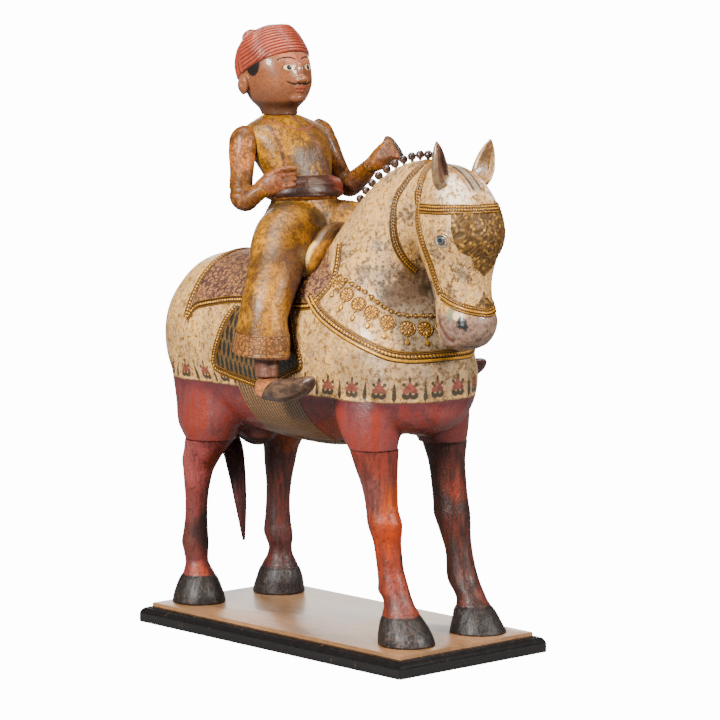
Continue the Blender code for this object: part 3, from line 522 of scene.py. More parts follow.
trunk = mm([
    (0, 403, 563, 0, 30, 35, 40, 2, 2), (0, 393, 560, 0, 77, 83, 98, 2, 2),
    (0, 357, 558, 0, 121, 133, 149, 2, 2.1), (0, 296, 555, 0, 145, 159, 169, 2, 2.2),
    (0, 200, 552, 0, 152, 165, 172, 2, 2.2), (0, 80, 548, 0, 154, 166, 178, 2.1, 2.1),
    (0, -40, 550, 0, 152, 178, 179, 2.2, 2.1), (0, -140, 552, 0, 148, 178, 154, 2.1, 2.2),
    (0, -215, 538, 0, 134, 155, 130, 1.8, 2.2), (0, -268, 506, 0, 103, 128, 92, 1.55, 2.1),
    (0, -296, 495, 0, 57, 72, 56, 1.8, 2)], 3, 7, 8)
neck = mm([
    (0, -90, 520, -60, 130, 150, 150, 2, 2), (0, -105, 590, -56, 126, 165, 165, 1.9, 2),
    (0, -138, 655, -48, 114, 158, 155, 1.8, 2), (0, -166, 720, -40, 93, 140, 135, 1.7, 2),
    (0, -196, 775, -25, 75, 119, 110, 1.7, 2), (0, -230, 815, -5, 64, 93, 95, 1.7, 2),
    (0, -265, 835, 20, 58, 73, 82, 2, 2)], 3, 7, 8)
head = mm([
    (0, -250, 870, 20, 34, 37, 50, 2, 2), (0, -285, 850, 40, 55, 62, 75, 2.4, 2),
    (0, -312, 808, 68, 67, 80, 90, 2.8, 2.2), (0, -324, 772, 84, 68, 81, 88, 2.8, 2.2),
    (0, -330, 730, 88, 55, 63, 78, 2.5, 2.2), (0, -333, 690, 90, 47, 53, 64, 2.4, 2.2),
    (0, -338, 655, 90, 46, 54, 57, 2.3, 2.2), (0, -343, 622, 90, 50, 59, 54, 2.2, 2.2),
    (0, -342, 596, 90, 46, 52, 49, 2, 2.1), (0, -338, 578, 90, 34, 34, 36, 2, 2),
    (0, -336, 571, 90, 16, 16, 18, 2, 2)], 3, 7, 8)
front_stub = mm([
    (-87, -200, 345, 90, 34, 36, 34, 2, 2), (-87, -195, 371, 90, 40, 42, 40, 2, 2),
    (-86, -182, 419, 90, 54, 60, 56, 2, 2), (-80, -172, 460, 90, 62, 76, 66, 2, 2),
    (-68, -165, 520, 90, 62, 80, 70, 2, 2)], 3, 7, 8)
rear_stub = mm([
    (-90, 284, 325, 90, 37, 38, 38, 2, 2), (-90, 266, 354, 90, 44, 47, 48, 2, 2),
    (-89, 264, 385, 90, 56, 62, 71, 2, 2), (-83, 267, 430, 90, 61, 84, 81, 2, 2),
    (-71, 268, 500, 90, 74, 100, 104, 2, 2)], 3, 7, 8)
front_joint, rear_joint = 0.385, 0.358
horse = melt("carved_horse", [
    body_form(trunk, 80), body_form(neck), body_form(head, 80),
    *(body_form(stub) for table in (front_stub, rear_stub) for stub in (table, mirrored(table))),
    egg((0, 0.235, 0.385), (0.036, 0.055, 0.045))], 0.0045, 16)
spots = points_of(horse)
finer(horse, (spots[:, 2] > 0.565) & (spots[:, 1] < -0.275))
pressed(horse, mm([
    (-66, -346, 772, 18, 1.6), (-62, -352, 796, 14, 1.4), (-52, -300, 745, 30, 1.5),
    (-50, -352, 715, 26, -1.8), (-43, -376, 625, 13, 2.2), (-48, -340, 600, 7, -2),
    (-48, -330, 612, 6, -2.2), (-44, -352, 591, 6, -1.8), (-34, -372, 583, 8, -1.4),
    (-62, -250, 560, 40, 2), (-130, 300, 560, 60, 2), (-62, -272, 840, 18, -1.2)]))
spots = points_of(horse)
upper_leg = (np.abs(spots[:, 0]) > 0.045) & (spots[:, 2] < 0.4)
joint = np.where(spots[:, 1] < 0.05, front_joint, rear_joint)
spots[upper_leg, 2] = np.maximum(spots[upper_leg, 2], joint[upper_leg])
reshape(horse, spots)

# The border's flowers are set out along the body: the girth at their height, measured from the
# middle of the breast and alike on both sides.
turn = np.arctan2(np.abs(spots[:, 0]), 0.05 - spots[:, 1])
level = np.argsort(turn)
level = level[np.abs(spots[level, 2] - 0.5) < 0.005]
stations = np.linspace(0, np.pi, 121)
spread = np.interp(stations, turn[level], np.hypot(spots[level, 0], spots[level, 1] - 0.05))
steps = np.hypot(np.diff(spread * np.sin(stations)), np.diff(spread * np.cos(stations)))
horse.data.attributes.new("run", "FLOAT", "POINT").data.foreach_set("value", np.interp(turn, stations,
    np.append(0, np.cumsum(steps))))

def off_path(points, path):
    """Distance of points from a line of straight stretches, taken on both sides of the horse alike.
    In words: the least, over the stretches, of the distance to the nearest place on each."""
    folded = points * [1, 1, 1]
    folded[:, 0] = -np.abs(folded[:, 0])
    start, reach = np.array(path[:-1])[:, None], np.diff(path, axis=0)[:, None]
    share = (((folded - start) * reach).sum(axis=-1) / (reach ** 2).sum(axis=-1)).clip(0, 1)
    return np.linalg.norm(folded - start - share[..., None] * reach, axis=-1).min(axis=0)


mouth_path = mm([
    (-46, -318, 634), (-48, -328, 614), (-47, -340, 600), (-42, -352, 592)])
horse.data.attributes.new("mouth", "FLOAT", "POINT").data.foreach_set("value", off_path(spots, mouth_path))

line_height = 0.476
horse_paint = Paint("crazed_cream_and_red")
x, y, z, run = horse_paint.x, horse_paint.y, horse_paint.z, horse_paint.stored("run")
blotch, drift = horse_paint.clouds(15.0, 5, 0.6), horse_paint.clouds(46.0, 5, 0.66)
runs_down = horse_paint.clouds(60.0, 5, 0.66, stretch=(1.5, 1.5, 0.35))
stained = horse_paint.near((94, -170, 705, 50), (70, -215, 702, 50), (79, -189, 757, 32),
    (57, -254, 812, 34), (90, -112, 731, 40), (111, -133, 676, 35), (30, -180, 882, 40),
    (38, -366, 712, 30), (66, -352, 786, 22), (60, -330, 745, 34), (44, -350, 684, 22), (60, -290, 530, 55),
    (20, -240, 900, 28), (10, -290, 540, 60), (100, -240, 520, 45), (20, 400, 600, 80))
cream = horse_paint.coats(
    (206, 173, 108),
    (blotch.past(0.5, 0.3), (218, 189, 118)),
    (drift.under(0.44, 0.16) * 0.55, (226, 203, 134)),
    (runs_down.past(0.54, 0.14) * 0.5, (176, 136, 96)))
cream, mottle, grime = horse_paint.aged(cream, (106, 68, 32), 0.66)
fine_specks = horse_paint.clouds(330.0, 3, 0.6).past(0.57, 0.08)
dirty = (stained * 1.4 + (mottle - 0.5) * 3.2 + (grime - 0.5) * 2.0).past(0.74, 0.4)
throat_shade = (abs(x).under(0.085, 0.035) * z.between(0.555, 0.69, 0.035) * y.under(-0.185, 0.03)
    * y.past(-0.305, 0.012) + (mottle - 0.5) * 1.2)
belly_shade = z.between(0.485, 0.565, 0.02) * y.under(-0.16, 0.08) + (drift - 0.5) * 1.2
# Painted highlight: a pale patch on the forehead above the brow band.
forehead_highlight = horse_paint.near((38, -355, 856, 42)).past(0.2, 0.6) * mottle.under(0.53, 0.1)
# Purple-grey grime on the neck below the jaw, deepened by painted shade under the hanging head.
plum_grime_and_shade = (horse_paint.near((30, -240, 684, 58), (70, -228, 668, 36)) * 1.6 + (mottle - 0.5) * 2.4)
black_specks = horse_paint.clouds(150.0, 5, 0.7).past(0.6, 0.05)
forelock = y.under(-0.285, 0.02) * z.past(0.858, 0.006) * (1 - mottle.past(0.56, 0.06) * 0.6)
muzzle = z.under(0.64, 0.012) * y.under(-0.318, 0.015)
pink = horse_paint.mix(mottle.past(0.5, 0.16), (172, 144, 130), (128, 100, 88))
pink = horse_paint.mix(black_specks * 0.7, pink, (70, 52, 46))
nostril = horse_paint.near((42, -376, 624, 17)) + (mottle - 0.5) * 1.6
lips = horse_paint.stored("mouth") + (mottle - 0.5) * 0.004
cream = horse_paint.coats(
    cream,
    (fine_specks * 0.5, (120, 84, 46)),
    (dirty * 0.8, (112, 72, 30)),
    (throat_shade.past(0.42, 0.4) * 0.9, (100, 72, 40)),
    (belly_shade.past(0.5, 0.5) * 0.6, (144, 104, 54)),
    (forehead_highlight * 0.85, (0.85, 0.72, 0.56, 1.0)),
    (plum_grime_and_shade.past(0.42, 0.5) * 0.85, horse_paint.mix(drift.past(0.5, 0.15), (140, 108, 84), (96, 66, 42))),
    (black_specks * plum_grime_and_shade.most(dirty * 0.5).past(0.45, 0.4) * 0.9, (64, 42, 24)),
    (abs(x).between(0.014, 0.022, 0.003) * forelock * 0.75, (176, 118, 72)),
    (abs(x).under(0.009, 0.002) * forelock * 0.8, (160, 152, 142)),
    (abs(x).between(0.0065, 0.0125, 0.0015) * forelock * 0.95, (60, 54, 50)),
    (muzzle * 0.92, pink),
    (horse_paint.near((47, -352, 640, 16)).past(0.3, 0.4) * 0.7, (150, 158, 130)),
    # Painted highlight: a pale glint above the nostril.
    (horse_paint.near((44, -364, 637.5, 12)).past(0.35, 0.3) * 0.8, (228, 220, 204)),
    (nostril.past(0.3, 0.2), (38, 34, 36)),
    (horse_paint.near((42, -377, 623.5, 5)).past(0.3, 0.3) * 0.8, (130, 138, 148)),
    (lips.under(0.003, 0.0016) * 0.85, (120, 50, 42)),
    (lips.between(0.003, 0.0046, 0.001) * 0.6, (84, 52, 46)))

# Border: red flowers in cups of black leaves with three buds, and black cypresses between them.
flower_pitch, flower_start = 0.0577, 0.0255
size = (1.03 - run * 0.26) / 1000
flower_x = abs((run - flower_start + flower_pitch / 2).wrapped(flower_pitch)) / size
height = (z - line_height) / size
brushed = (mottle - 0.5) * 5.0


def dab(across, up, wide, tall):
    """A brush dab on both sides of the flower: an ellipse with a brushed edge, sizes in millimetres."""
    return (((flower_x - across) / wide).reach((height - up) / tall) + brushed * 0.09).under(1.0, 0.22)


cup = dab(6.5, 14.5, 8.6, 7.4) * (1 - dab(3.0, 20.5, 6.6, 5.4))
stalk = dab(0, 15.0, 3.4, 6.0)
buds = dab(11.4, 34.0, 3.4, 3.0).most(dab(0, 42.5, 2.8, 5.4)).most(dab(7.0, 31.0, 4.0, 1.3))
petals = dab(7.6, 22.6, 6.6, 4.8).most(dab(4.4, 28.0, 5.0, 5.0)).most(dab(0, 33.6, 4.4, 5.0)).most(dab(0,
    25.5, 5.0, 5.6))
cypress_x = abs((run - flower_start).wrapped(flower_pitch)) / size + brushed * 0.12
cypress = ((43.0 - height) * 0.15).least((height - 1.0) * 0.55).least(4.2) - cypress_x
cypress = cypress.past(0.0, 0.9)
worn = drift.past(0.34, 0.14)
cream = horse_paint.coats(
    cream,
    (cup.most(stalk).most(buds).most(cypress) * worn * 0.94, (46, 40, 30)),
    (petals * worn * 0.92, horse_paint.mix(mottle.past(0.5, 0.2), (164, 78, 68), (116, 46, 42))),
    (height.between(2.2, 3.2, 0.5) * drift.past(0.45, 0.1) * 0.6, (120, 78, 50)))

paint_streak_and_highlight = horse_paint.clouds(34.0, 5, 0.62, stretch=(1.6, 1.6, 0.28))
seam_z = (z - front_joint).most(-1.0) * y.under(0.05, 0.01) + (z - rear_joint) * y.past(0.05, 0.01)
red = horse_paint.coats(
    (168, 62, 48),
    (paint_streak_and_highlight.past(0.48, 0.2), (152, 74, 72)),
    (paint_streak_and_highlight.past(0.6, 0.12) * 0.6, (116, 48, 48)),
    (horse_paint.near((75, -175, 425, 75)).past(0.25, 0.5) * 0.75, (190, 66, 36)),
    (mottle.past(0.58, 0.08) * 0.35, (92, 44, 44)),
    (((z - 0.462) * 60 + (drift - 0.5) * 3).past(0.0, 1.0) * 0.75, (104, 42, 50)),
    # Painted shade: darker red under the belly between the legs.
    (abs(x).under(0.055, 0.03) * z.under(0.42, 0.03) * 0.8, (84, 34, 30)),
    # Painted shade: darker red on the far side of the chest and forelegs.
    (x.past(0.03, 0.08) * y.under(-0.1, 0.05) * 0.5, (84, 34, 32)),
    (seam_z.under(0.0016, 0.0014) * 0.9, (26, 14, 14)))
edge = z + (drift - 0.5) * 0.004
body_colour = horse_paint.coats(
    red,
    (edge.past(line_height, 0.0012), cream),
    (edge.between(line_height - 0.0004, line_height + 0.0016, 0.0008) * 0.8, (52, 26, 22)))
gloss = mottle.past(0.5, 0.2) * 0.25 + 0.26
fix(horse, horse_paint.laid(body_colour, gloss, (mottle, 0.0008), (drift, 0.0022), coat=(0.22, 0.12),
    specular=0.3), "cream_paint", "horse_body")


# Harness: bridle, throat strap and breast band are carved proud of the body, a few millimetres deep,
# as cords with rows of beads between them, then gilded; brown lacquer has stayed in the hollows.

def laid_on(points, onto):
    """Where points meet a piece, and the way out of it there. In words: the nearest place on the
    surface, and the difference between it and the place ten millimetres above it."""
    cloud = bpy.data.meshes.new("cloud")
    cloud.vertices.add(points.size // 3)
    cloud.vertices.foreach_set("co", points.ravel())
    holder = bpy.data.objects.new("cloud", cloud)
    bpy.context.collection.objects.link(holder)
    wrap = holder.modifiers.new("laid", "SHRINKWRAP")
    wrap.target, wrap.wrap_mode = onto, "ABOVE_SURFACE"
    found = []
    for wrap.offset in (0.0, 0.01):
        bpy.context.view_layer.update()
        mesh = holder.evaluated_get(bpy.context.evaluated_depsgraph_get()).to_mesh()
        place = np.empty(points.size)
        mesh.vertices.foreach_get("co", place)
        found.append(place.reshape(points.shape))
    bpy.data.objects.remove(holder)
    return found[0], (found[1] - found[0]) / 0.01


def unit(vectors):
    """Vectors of length one. In words: each over its own length."""
    return vectors / np.linalg.norm(vectors, axis=-1, keepdims=True)


def wrapped(value, pitch):
    """Distance from the middle of the repeat that a value is in."""
    return np.mod(value, pitch) - pitch / 2


def carved_rows(along, across, rows):
    """Relief of a band, in metres. A row, in millimetres: middle, width, height, pitch, slant. In
    words: a row without a pitch is a half-round cord, one with a pitch is a line of domed beads, and
    a negative pitch is a cord notched at that pitch; the highest counts."""
    high = np.zeros(np.broadcast(along, across).shape)
    for middle, width, height, pitch, slant in np.array(rows) / 1000:
        off = (across - middle) / (width / 2)
        step = wrapped(along + slant * 1000 * (across - middle), abs(pitch)) / (abs(pitch)
            / 2) if pitch else 0
        if pitch > 0:
            shape = np.sqrt(np.clip(1 - off ** 2 - (step * 1.04) ** 2, 0, 1))
        else:
            shape = np.sqrt(np.clip(1 - off ** 2, 0, 1)) * (1 - 0.35 * (np.abs(step) > 0.7))
        high = np.maximum(high, height * shape)
    return high


sunk_edge = 0.0015


def strap_form(path, width, rows, onto, ground=0.0009, fine=0.0009):
    """A band along a path. In words: the path is laid on the surface; points stand across it at even
    distances, are laid on the surface too, and rise by the ground and the rows' relief, which ease to
    nothing at the edges; two sunk lines close the section. Returns the form, along, across, relief."""
    path = drawn(path, 400)[:, :3]
    length = np.linalg.norm(np.diff(path, axis=0), axis=1).sum()
    middle, out = laid_on(drawn(path[::4], int(length / fine)), onto)
    heading = np.gradient(middle, axis=0)
    side = unit(np.cross(out, heading))
    across = np.linspace(-width / 2, width / 2, int(width / 0.0007))
    along = np.append(0, np.cumsum(np.linalg.norm(np.diff(middle, axis=0), axis=1)))[:, None]
    spot, out = laid_on(middle[:, None] + side[:, None] * across[:, None], onto)
    high = carved_rows(along, across, rows)
    ease = np.clip((width / 2 - np.abs(across)) / 0.0007, 0, 1) ** 0.5
    top = spot + out * ((ground + high) * ease + 0.0001)[..., None]
    under = (spot - out * sunk_edge)[:, [-1, 0]]
    blank = np.zeros((len(along), 2))
    return (np.concatenate([top, under], axis=1), np.concatenate([np.broadcast_to(along, high.shape), along
        + blank], axis=1), np.concatenate([np.broadcast_to(across, high.shape), blank + across[[-1, 0]]],
        axis=1), np.concatenate([high * 1000, blank], axis=1))


def carving(name, forms):
    """One piece from forms that come with their along, across and relief."""
    form, along, across, high = zip(*forms)
    return skin(name, form, {"along": along, "across": across, "high": high})


def both(path):
    """A path and its mirror image."""
    return [path, mirrored(path)]


def over(path):
    """A half path, given from the middle outwards, and its mirror image as one."""
    return [np.concatenate([mirrored(path)[:0:-1], path])]


cheek_path = mm([
    (0, -262, 906), (-30, -272, 890), (-48, -275, 868), (-55, -274, 835), (-62, -283, 805),
    (-64, -297, 770), (-54, -305, 732), (-46, -311, 700), (-45, -325, 671)])
throat_path = mm([
    (0, -245, 906), (-30, -248, 892), (-48, -236, 868), (-59, -222, 839), (-66, -221, 805),
    (-64, -223, 770), (-54, -229, 740), (-40, -236, 720), (-24, -246, 706)])
brow_path = mm([
    (0, -392, 828), (-33, -386, 827), (-52, -370, 827), (-64, -336, 826), (-58, -284, 825)])
nose_path = mm([
    (0, -396, 643), (-20, -391, 646), (-34, -380, 650), (-43, -359, 657), (-45, -325, 671)])
breast_path = mm([
    (0, -297, 559), (-48, -292, 559), (-82, -279, 560), (-108, -259, 565), (-125, -230, 576),
    (-135, -193, 590), (-139, -149, 608), (-137, -100, 633), (-124, -60, 660)])
cheek_rows = [(-7.0, 1.7, 1.3, 0, 0), (-2.8, 4.4, 1.5, 5.4, 0.6), (2.2, 4.2, 1.5, 5.4, -0.6),
    (6.9, 1.7, 1.3, 0, 0)]
throat_rows = [(-6.6, 1.7, 1.2, 0, 0), (-1.9, 4.4, 1.4, 5.6, 0.7), (2.6, 3.6, 1.3, 5.6, -0.7),
    (6.6, 1.7, 1.2, 0, 0)]
brow_rows = [(-8.2, 1.4, 1.2, 0, 0), (-4.5, 4.5, 1.8, 5.0, 0), (1.1, 4.5, 1.8, 5.0, 0), (6.4, 2.4, 1.5, 0,
    0)]
nose_rows = [(-7.6, 1.5, 1.3, 0, 0), (-4.2, 3.4, 1.6, 4.4, 0), (1.2, 4.4, 2.0, 0, 0), (6.4, 2.4, 1.4, 0, 0)]
breast_rows = [(-9.6, 1.8, 1.6, 0, 0), (-6.4, 1.6, 1.3, 0, 0), (-1.0, 6.4, 1.9, 7.0, 0.35),
    (7.0, 5.2, 2.2, 0, 0)]

old_gold = Paint("old_gold")
gold_high = old_gold.stored("high")
gold_grain = old_gold.clouds(300.0, 4, 0.7)
gold_wear = old_gold.clouds(48.0, 5, 0.68)
# Painted shade: the gilt is darker on the throat strap behind the jaw and on the breast ornaments under the
# head.
gold_throat_shade = (old_gold.y.past(-0.262, 0.02) * old_gold.z.past(0.745, 0.02) * old_gold.z.under(0.89, 0.02)
    * old_gold.y.under(-0.19, 0.02))
gold_shade = gold_throat_shade.most(abs(old_gold.x).under(0.09, 0.03) * old_gold.z.between(0.56, 0.665, 0.02)
    * old_gold.y.under(-0.2, 0.02) * old_gold.y.past(-0.33, 0.01))
gold_colour = old_gold.coats(
    (74, 46, 18),
    (gold_high.past(0.8, 0.8), (194, 145, 64)),
    # Painted highlight: palest gold on the highest crests.
    (gold_high.past(1.35, 0.5) * 0.75, (214, 179, 90)),
    (gold_wear.past(0.55, 0.12) * 0.5, (130, 84, 30)),
    (gold_grain.past(0.6, 0.1) * 0.5, (84, 50, 16)),
    (gold_shade * 0.45, (96, 64, 30)))
gold_finish = old_gold.laid(gold_colour, gold_wear * 0.2 + 0.26, (gold_grain, 0.0005), (gold_wear, 0.0008),
    metal=0.4, coat=(0.05, 0.2))
for name, paths, width, rows in (
        ("cheek_strap", over(cheek_path), 0.0165, cheek_rows),
        ("throat_strap", over(throat_path), 0.016, throat_rows),
        ("brow_band", over(brow_path), 0.019, brow_rows), ("nose_band", over(nose_path), 0.018, nose_rows)):
    band = carving(name, [strap_form(path, width, rows, horse) for path in paths])
    fix(band, gold_finish, "gilt", "horse_body")


# Breast ornaments: a chain of small bosses, and under it rosettes that each carry a drop. They are
# carved and gilded with the harness.

def boss_forms(places, radius, relief, onto, rings=22, sides=64, stretch=1.0, taper=0.0, ground=0.0009):
    """Raised medals. In words: circles in the plane that touches the surface, drawn out downwards and
    narrowed upwards for a drop, are laid on the surface and rise by the ground and the relief, a
    function of the distance from the middle and of the turn."""
    middle, out = laid_on(np.array(places, float), onto)
    across = unit(np.cross([0.0, 0.0, 1.0], out))
    upward = np.cross(out, across)
    far = np.linspace(1.0, 0.03, rings)[:, None]
    turn = full_turn(sides)
    rise = radius * far * np.sin(turn) * stretch
    wide = radius * far * np.cos(turn) * (1 - taper * np.clip(rise / radius, 0, 1.3))
    grid = middle[:, None, None] + across[:, None, None] * wide[..., None] + upward[:, None,
        None] * rise[..., None]
    spot, way = laid_on(grid, onto)
    high = relief(far, turn) + np.zeros_like(wide)
    top = spot + way * ((ground + high) * np.clip((1 - far) / 0.04, 0, 1) ** 0.5 + 0.0001)[..., None]
    rim = (spot - way * sunk_edge)[:, :1]
    blank = np.zeros((1, sides))
    return [(np.concatenate([low, form]), np.concatenate([rise[:1], rise]),
        np.concatenate([wide[:1], wide]), np.concatenate([blank, high * 1000])) for low, form in zip(rim,
        top)]


def ridge(far, at, width):
    """A half-round ridge across a distance. In words: the upper half of an ellipse of that width."""
    return np.sqrt(np.clip(1 - ((far - at) / (width / 2)) ** 2, 0, 1))


def rosette(far, turn):
    """A flower medal. In words: the highest of a rim cut into beads, ten long petals, six short ones
    within them, and a domed eye."""
    rim = 1.5 * ridge(far, 0.93, 0.14) * (0.8 + 0.2 * np.abs(np.cos(turn * 13)))
    outer = 1.9 * ridge(far, 0.56, 0.52) * np.abs(np.cos(turn * 5)) ** 0.6
    inner = 1.5 * ridge(far, 0.24, 0.2) * np.abs(np.sin(turn * 3)) ** 0.5
    eye = 2.0 * ridge(far, 0.0, 0.2)
    return np.maximum.reduce([rim, outer, inner, eye * np.ones_like(turn)]) / 1000


def dome(far, turn):
    """A plain half-round boss."""
    return 0.002 * ridge(far, 0.0, 2.0) + 0 * turn


def ringed_dome(far, turn):
    """A boss with a raised ring round it."""
    return (0.0018 * np.maximum(ridge(far, 0.0, 1.1), 0.5 * ridge(far, 0.85, 0.3))) + 0 * turn


medal_places = mm([
    (0, -282, 608), (-37, -278, 609), (-70, -266, 613), (-97, -241, 625), (-108, -209, 639),
    (-113, -180, 651), (-113, -150, 665), (-108, -123, 684)])
drop_places = mm([
    (0, -288, 584), (-40, -286, 585), (-77, -274, 589), (-108, -245, 601), (-120, -211, 616),
    (-126, -179, 627), (-124, -148, 643), (-118, -118, 663)])
chain_path = mm([
    (0, -272, 630), (-41, -266, 633), (-66, -256, 636), (-83, -240, 643), (-93, -212, 656),
    (-98, -184, 671), (-103, -152, 684), (-103, -109, 700)])


def on_both(places):
    """Places on the near side and the middle, with the far side's added."""
    places = np.array(places)
    return np.concatenate([places, mirrored(places[places[:, 0] < 0])])


chain_places = drawn(over(chain_path)[0], 31)
link_places = (chain_places[1:] + chain_places[:-1]) / 2
ring_places = (on_both(medal_places) * 0.3 + on_both(drop_places) * 0.7) + [0, 0, 0.0035]
medals = carving("breast_medals", boss_forms(on_both(medal_places), 0.015, rosette, horse, 26, 104))
drops = carving("breast_drops", boss_forms(on_both(drop_places), 0.0052, dome, horse, 14, 32, 1.35, 0.55)
    + boss_forms(ring_places, 0.003, dome, horse, 8, 20))
chain = carving("breast_chain", boss_forms(chain_places, 0.0052, ringed_dome, horse, 14, 32)
    + boss_forms(link_places, 0.0026, dome, horse, 8, 20))
breast_band = carving("breast_band", [strap_form(over(breast_path)[0], 0.0225, breast_rows, horse,
    fine=0.0008)])
for piece in (medals, drops, chain, breast_band):
    fix(piece, gold_finish, "gilt", "horse_body")


# Saddle cloth, flaps and girth: carved as one thin layer on the body, the cloth with a scaled
# pattern in maroon, the flaps with dark leaves, the girth with slanted stitches in rows.

def between_rows(value, stations, column=1):
    """One column of a design table read between its rows."""
    stations = np.array(stations)
    stations = stations[np.argsort(stations[:, 0], kind="stable")]
    return np.interp(value, stations[:, 0], stations[:, column])


def slab(name, grid, relief, finish, slot, thick=0.0008):
    """A thin layer over the horse. In words: a grid of points is laid on the surface and rises by
    the thickness and the relief; the edges are sunk below it all round."""
    spot, out = laid_on(grid, horse)
    rows, columns = grid.shape[:2]
    steps = np.linalg.norm(np.diff(spot, axis=0), axis=2), np.linalg.norm(np.diff(spot, axis=1), axis=2)
    along = np.concatenate([np.zeros((1, columns)), np.cumsum(steps[0], axis=0)])
    across = np.concatenate([np.zeros((rows, 1)), np.cumsum(steps[1], axis=1)], axis=1)
    across -= across[:, [columns // 2]]
    high = relief(along, across)
    edge = np.minimum.outer(np.minimum(np.arange(rows), np.arange(rows)[::-1]),
        np.minimum(np.arange(columns), np.arange(columns)[::-1]))
    lift = np.where(edge == 0, -sunk_edge, thick + high)
    top = spot + out * lift[..., None]
    under = (spot - out * 0.0016)[:, ::-1]
    marks = {mark: [np.concatenate([value, value[:, ::-1]], axis=1)] for mark, value in {"along": along,
        "across": across, "high": high * 1000}.items()}
    return fix(skin(name, [np.concatenate([top, under], axis=1)], marks), finish, slot, "horse_body")


cloth_low = mm([
    (-106, 700), (-104, 680), (-90, 656), (-76, 642), (-55, 638), (-25, 637), (130, 637), (169, 633),
    (198, 628), (222, 624), (248, 616), (266.5, 594)])
trunk_rows = [(row[1], row[2], row[4], row[5], row[6]) for row in trunk]


def cloth_grid(count=176, sides=226):
    """The back under the cloth. In words: at each distance along the horse the trunk's section is
    followed from the cloth's lower edge on one side, over the back, to the other; the front edge
    runs back towards the top."""
    at = np.linspace(-0.106, 0.2665, count)[:, None]
    over_back = np.linspace(-1, 1, sides)
    y = at + (1 - np.abs(over_back)) ** 0.8 * 0.06 * np.clip((0.1 - at) / 0.206, 0, 1)
    middle, wide, rise = (between_rows(y, trunk_rows, column) for column in (1, 2, 3))
    low = np.arcsin(np.clip((between_rows(at, cloth_low) - middle) / rise, 0.05, 0.95))
    angle = np.pi / 2 - over_back * (np.pi / 2 - low)
    return np.stack([wide * np.cos(angle) * -1, y, middle + rise * np.sin(angle)], axis=-1)


def scales(along, across):
    """Overlapping scales. In words: the product of two slanting waves, sharpened."""
    wave = np.cos((along + across) * 2 * np.pi / 0.0062) * np.cos((along - across) * 2 * np.pi / 0.0062)
    return 0.00035 * np.sign(wave) * np.abs(wave) ** 0.6


cloth_paint = Paint("maroon_cloth")
cloth_speck = cloth_paint.clouds(170.0, 5, 0.74)
cloth_fade = cloth_paint.clouds(24.0, 4, 0.6)
cloth_cell = cloth_paint.cells(135.0) + (cloth_speck - 0.5) * 0.25
scroll = cloth_cell.between(0.26, 0.44, 0.06).most(cloth_cell.under(0.1, 0.05))
cloth_colour = cloth_paint.coats(
    (88, 50, 44),
    (cloth_fade.past(0.5, 0.2), (112, 72, 58)),
    (scroll * 0.85, (196, 152, 98)),
    (cloth_speck.past(0.56, 0.08) * 0.6, (64, 36, 34)),
    (cloth_speck.under(0.42, 0.06) * 0.5, (206, 170, 110)))
cloth_finish = cloth_paint.laid(cloth_colour, cloth_speck * 0.2 + 0.32, (cloth_speck, 0.0007),
    (scroll, 0.0004), coat=(0.15, 0.2))
slab("saddle_cloth", cloth_grid(), scales, cloth_finish, "cream_paint")

flap_rear = mm([
    (504, 178), (514, 180), (531, 177), (561, 165), (589, 154), (612, 142), (635, 128)])
flap_front = mm([
    (532, -64), (553, -59), (572, -49), (597, -41), (620, -32), (638, -26)])
flap_low = mm([
    (-64, 532), (-40, 520), (-8, 506), (26, 490), (62, 486), (102, 492), (141, 499), (180, 510)])


def flap_grid(side, count=150, rows=92):
    """One flap. In words: columns run from the lower edge up to the cloth, and at each height they
    are spread evenly from the front edge to the rear edge."""
    share = np.linspace(0, 1, count)
    low = between_rows(-0.064 + share * 0.244, flap_low)
    z = low + np.linspace(0, 1, rows)[:, None] * (0.636 - low)
    front, rear = between_rows(z, flap_front), between_rows(z, flap_rear)
    return np.stack([0 * z + side * 0.155, front + share * (rear - front), z], axis=-1)


def leaves(along, across):
    """Leaves in columns. In words: a wave along, narrowed by a slower wave across."""
    wave = np.cos(across * 2 * np.pi / 0.024) + 0.8 * np.cos(along * 2 * np.pi / 0.011 + 2
        * np.cos(across * 520))
    return 0.0004 * np.tanh(2 * wave)


flap_paint = Paint("leafy_flap")
flap_along, flap_across = flap_paint.stored("along"), flap_paint.stored("across")
flap_speck = flap_paint.clouds(170.0, 5, 0.74)
leaf_row = flap_along.wrapped(0.03)
leaf_column = (flap_across + (flap_along / 0.03).math("FLOOR") * 0.0065).wrapped(0.013)
leaf_sway = (leaf_row * leaf_row * -14.0 + 0.0042) - abs(leaf_column) + (flap_speck - 0.5) * 0.006
flap_colour = flap_paint.coats(
    (96, 66, 32),
    (flap_speck.past(0.5, 0.15), (150, 110, 62)),
    (leaf_sway.past(0.0, 0.0014), (32, 30, 18)),
    (flap_speck.past(0.56, 0.08) * 0.5, (30, 24, 14)))
flap_finish = flap_paint.laid(flap_colour, flap_speck * 0.2 + 0.3, (flap_speck, 0.0008), coat=(0.2, 0.2))


def girth_grid(count=90, sides=230):
    """The girth. In words: the trunk's section is followed from one flap's lower edge under the
    belly to the other, between a front and a rear edge that draw together towards the middle."""
    share = np.linspace(0, 1, count)[:, None]
    under = np.linspace(-1, 1, sides)
    edge = np.abs(under)
    y = (-0.064 + 0.022 * edge) * (1 - share) + (0.104 + 0.018 * edge) * share
    middle, wide, fall = (between_rows(y, trunk_rows, column) for column in (1, 2, 4))
    angle = -np.pi / 2 + under * (np.pi / 2 - 0.34)
    return np.stack([wide * np.cos(angle), y, middle + fall * np.sin(angle)], axis=-1)


def stitches(along, across):
    """Rows of slanted stitches. In words: ridges at the rows' pitch, cut by a slanting wave."""
    row = np.abs(wrapped(along, 0.0078)) / 0.0039
    return 0.0004 * (1 - row ** 2) * (0.6 + 0.4 * np.cos((across + along * 0.8) * 2 * np.pi / 0.0056))


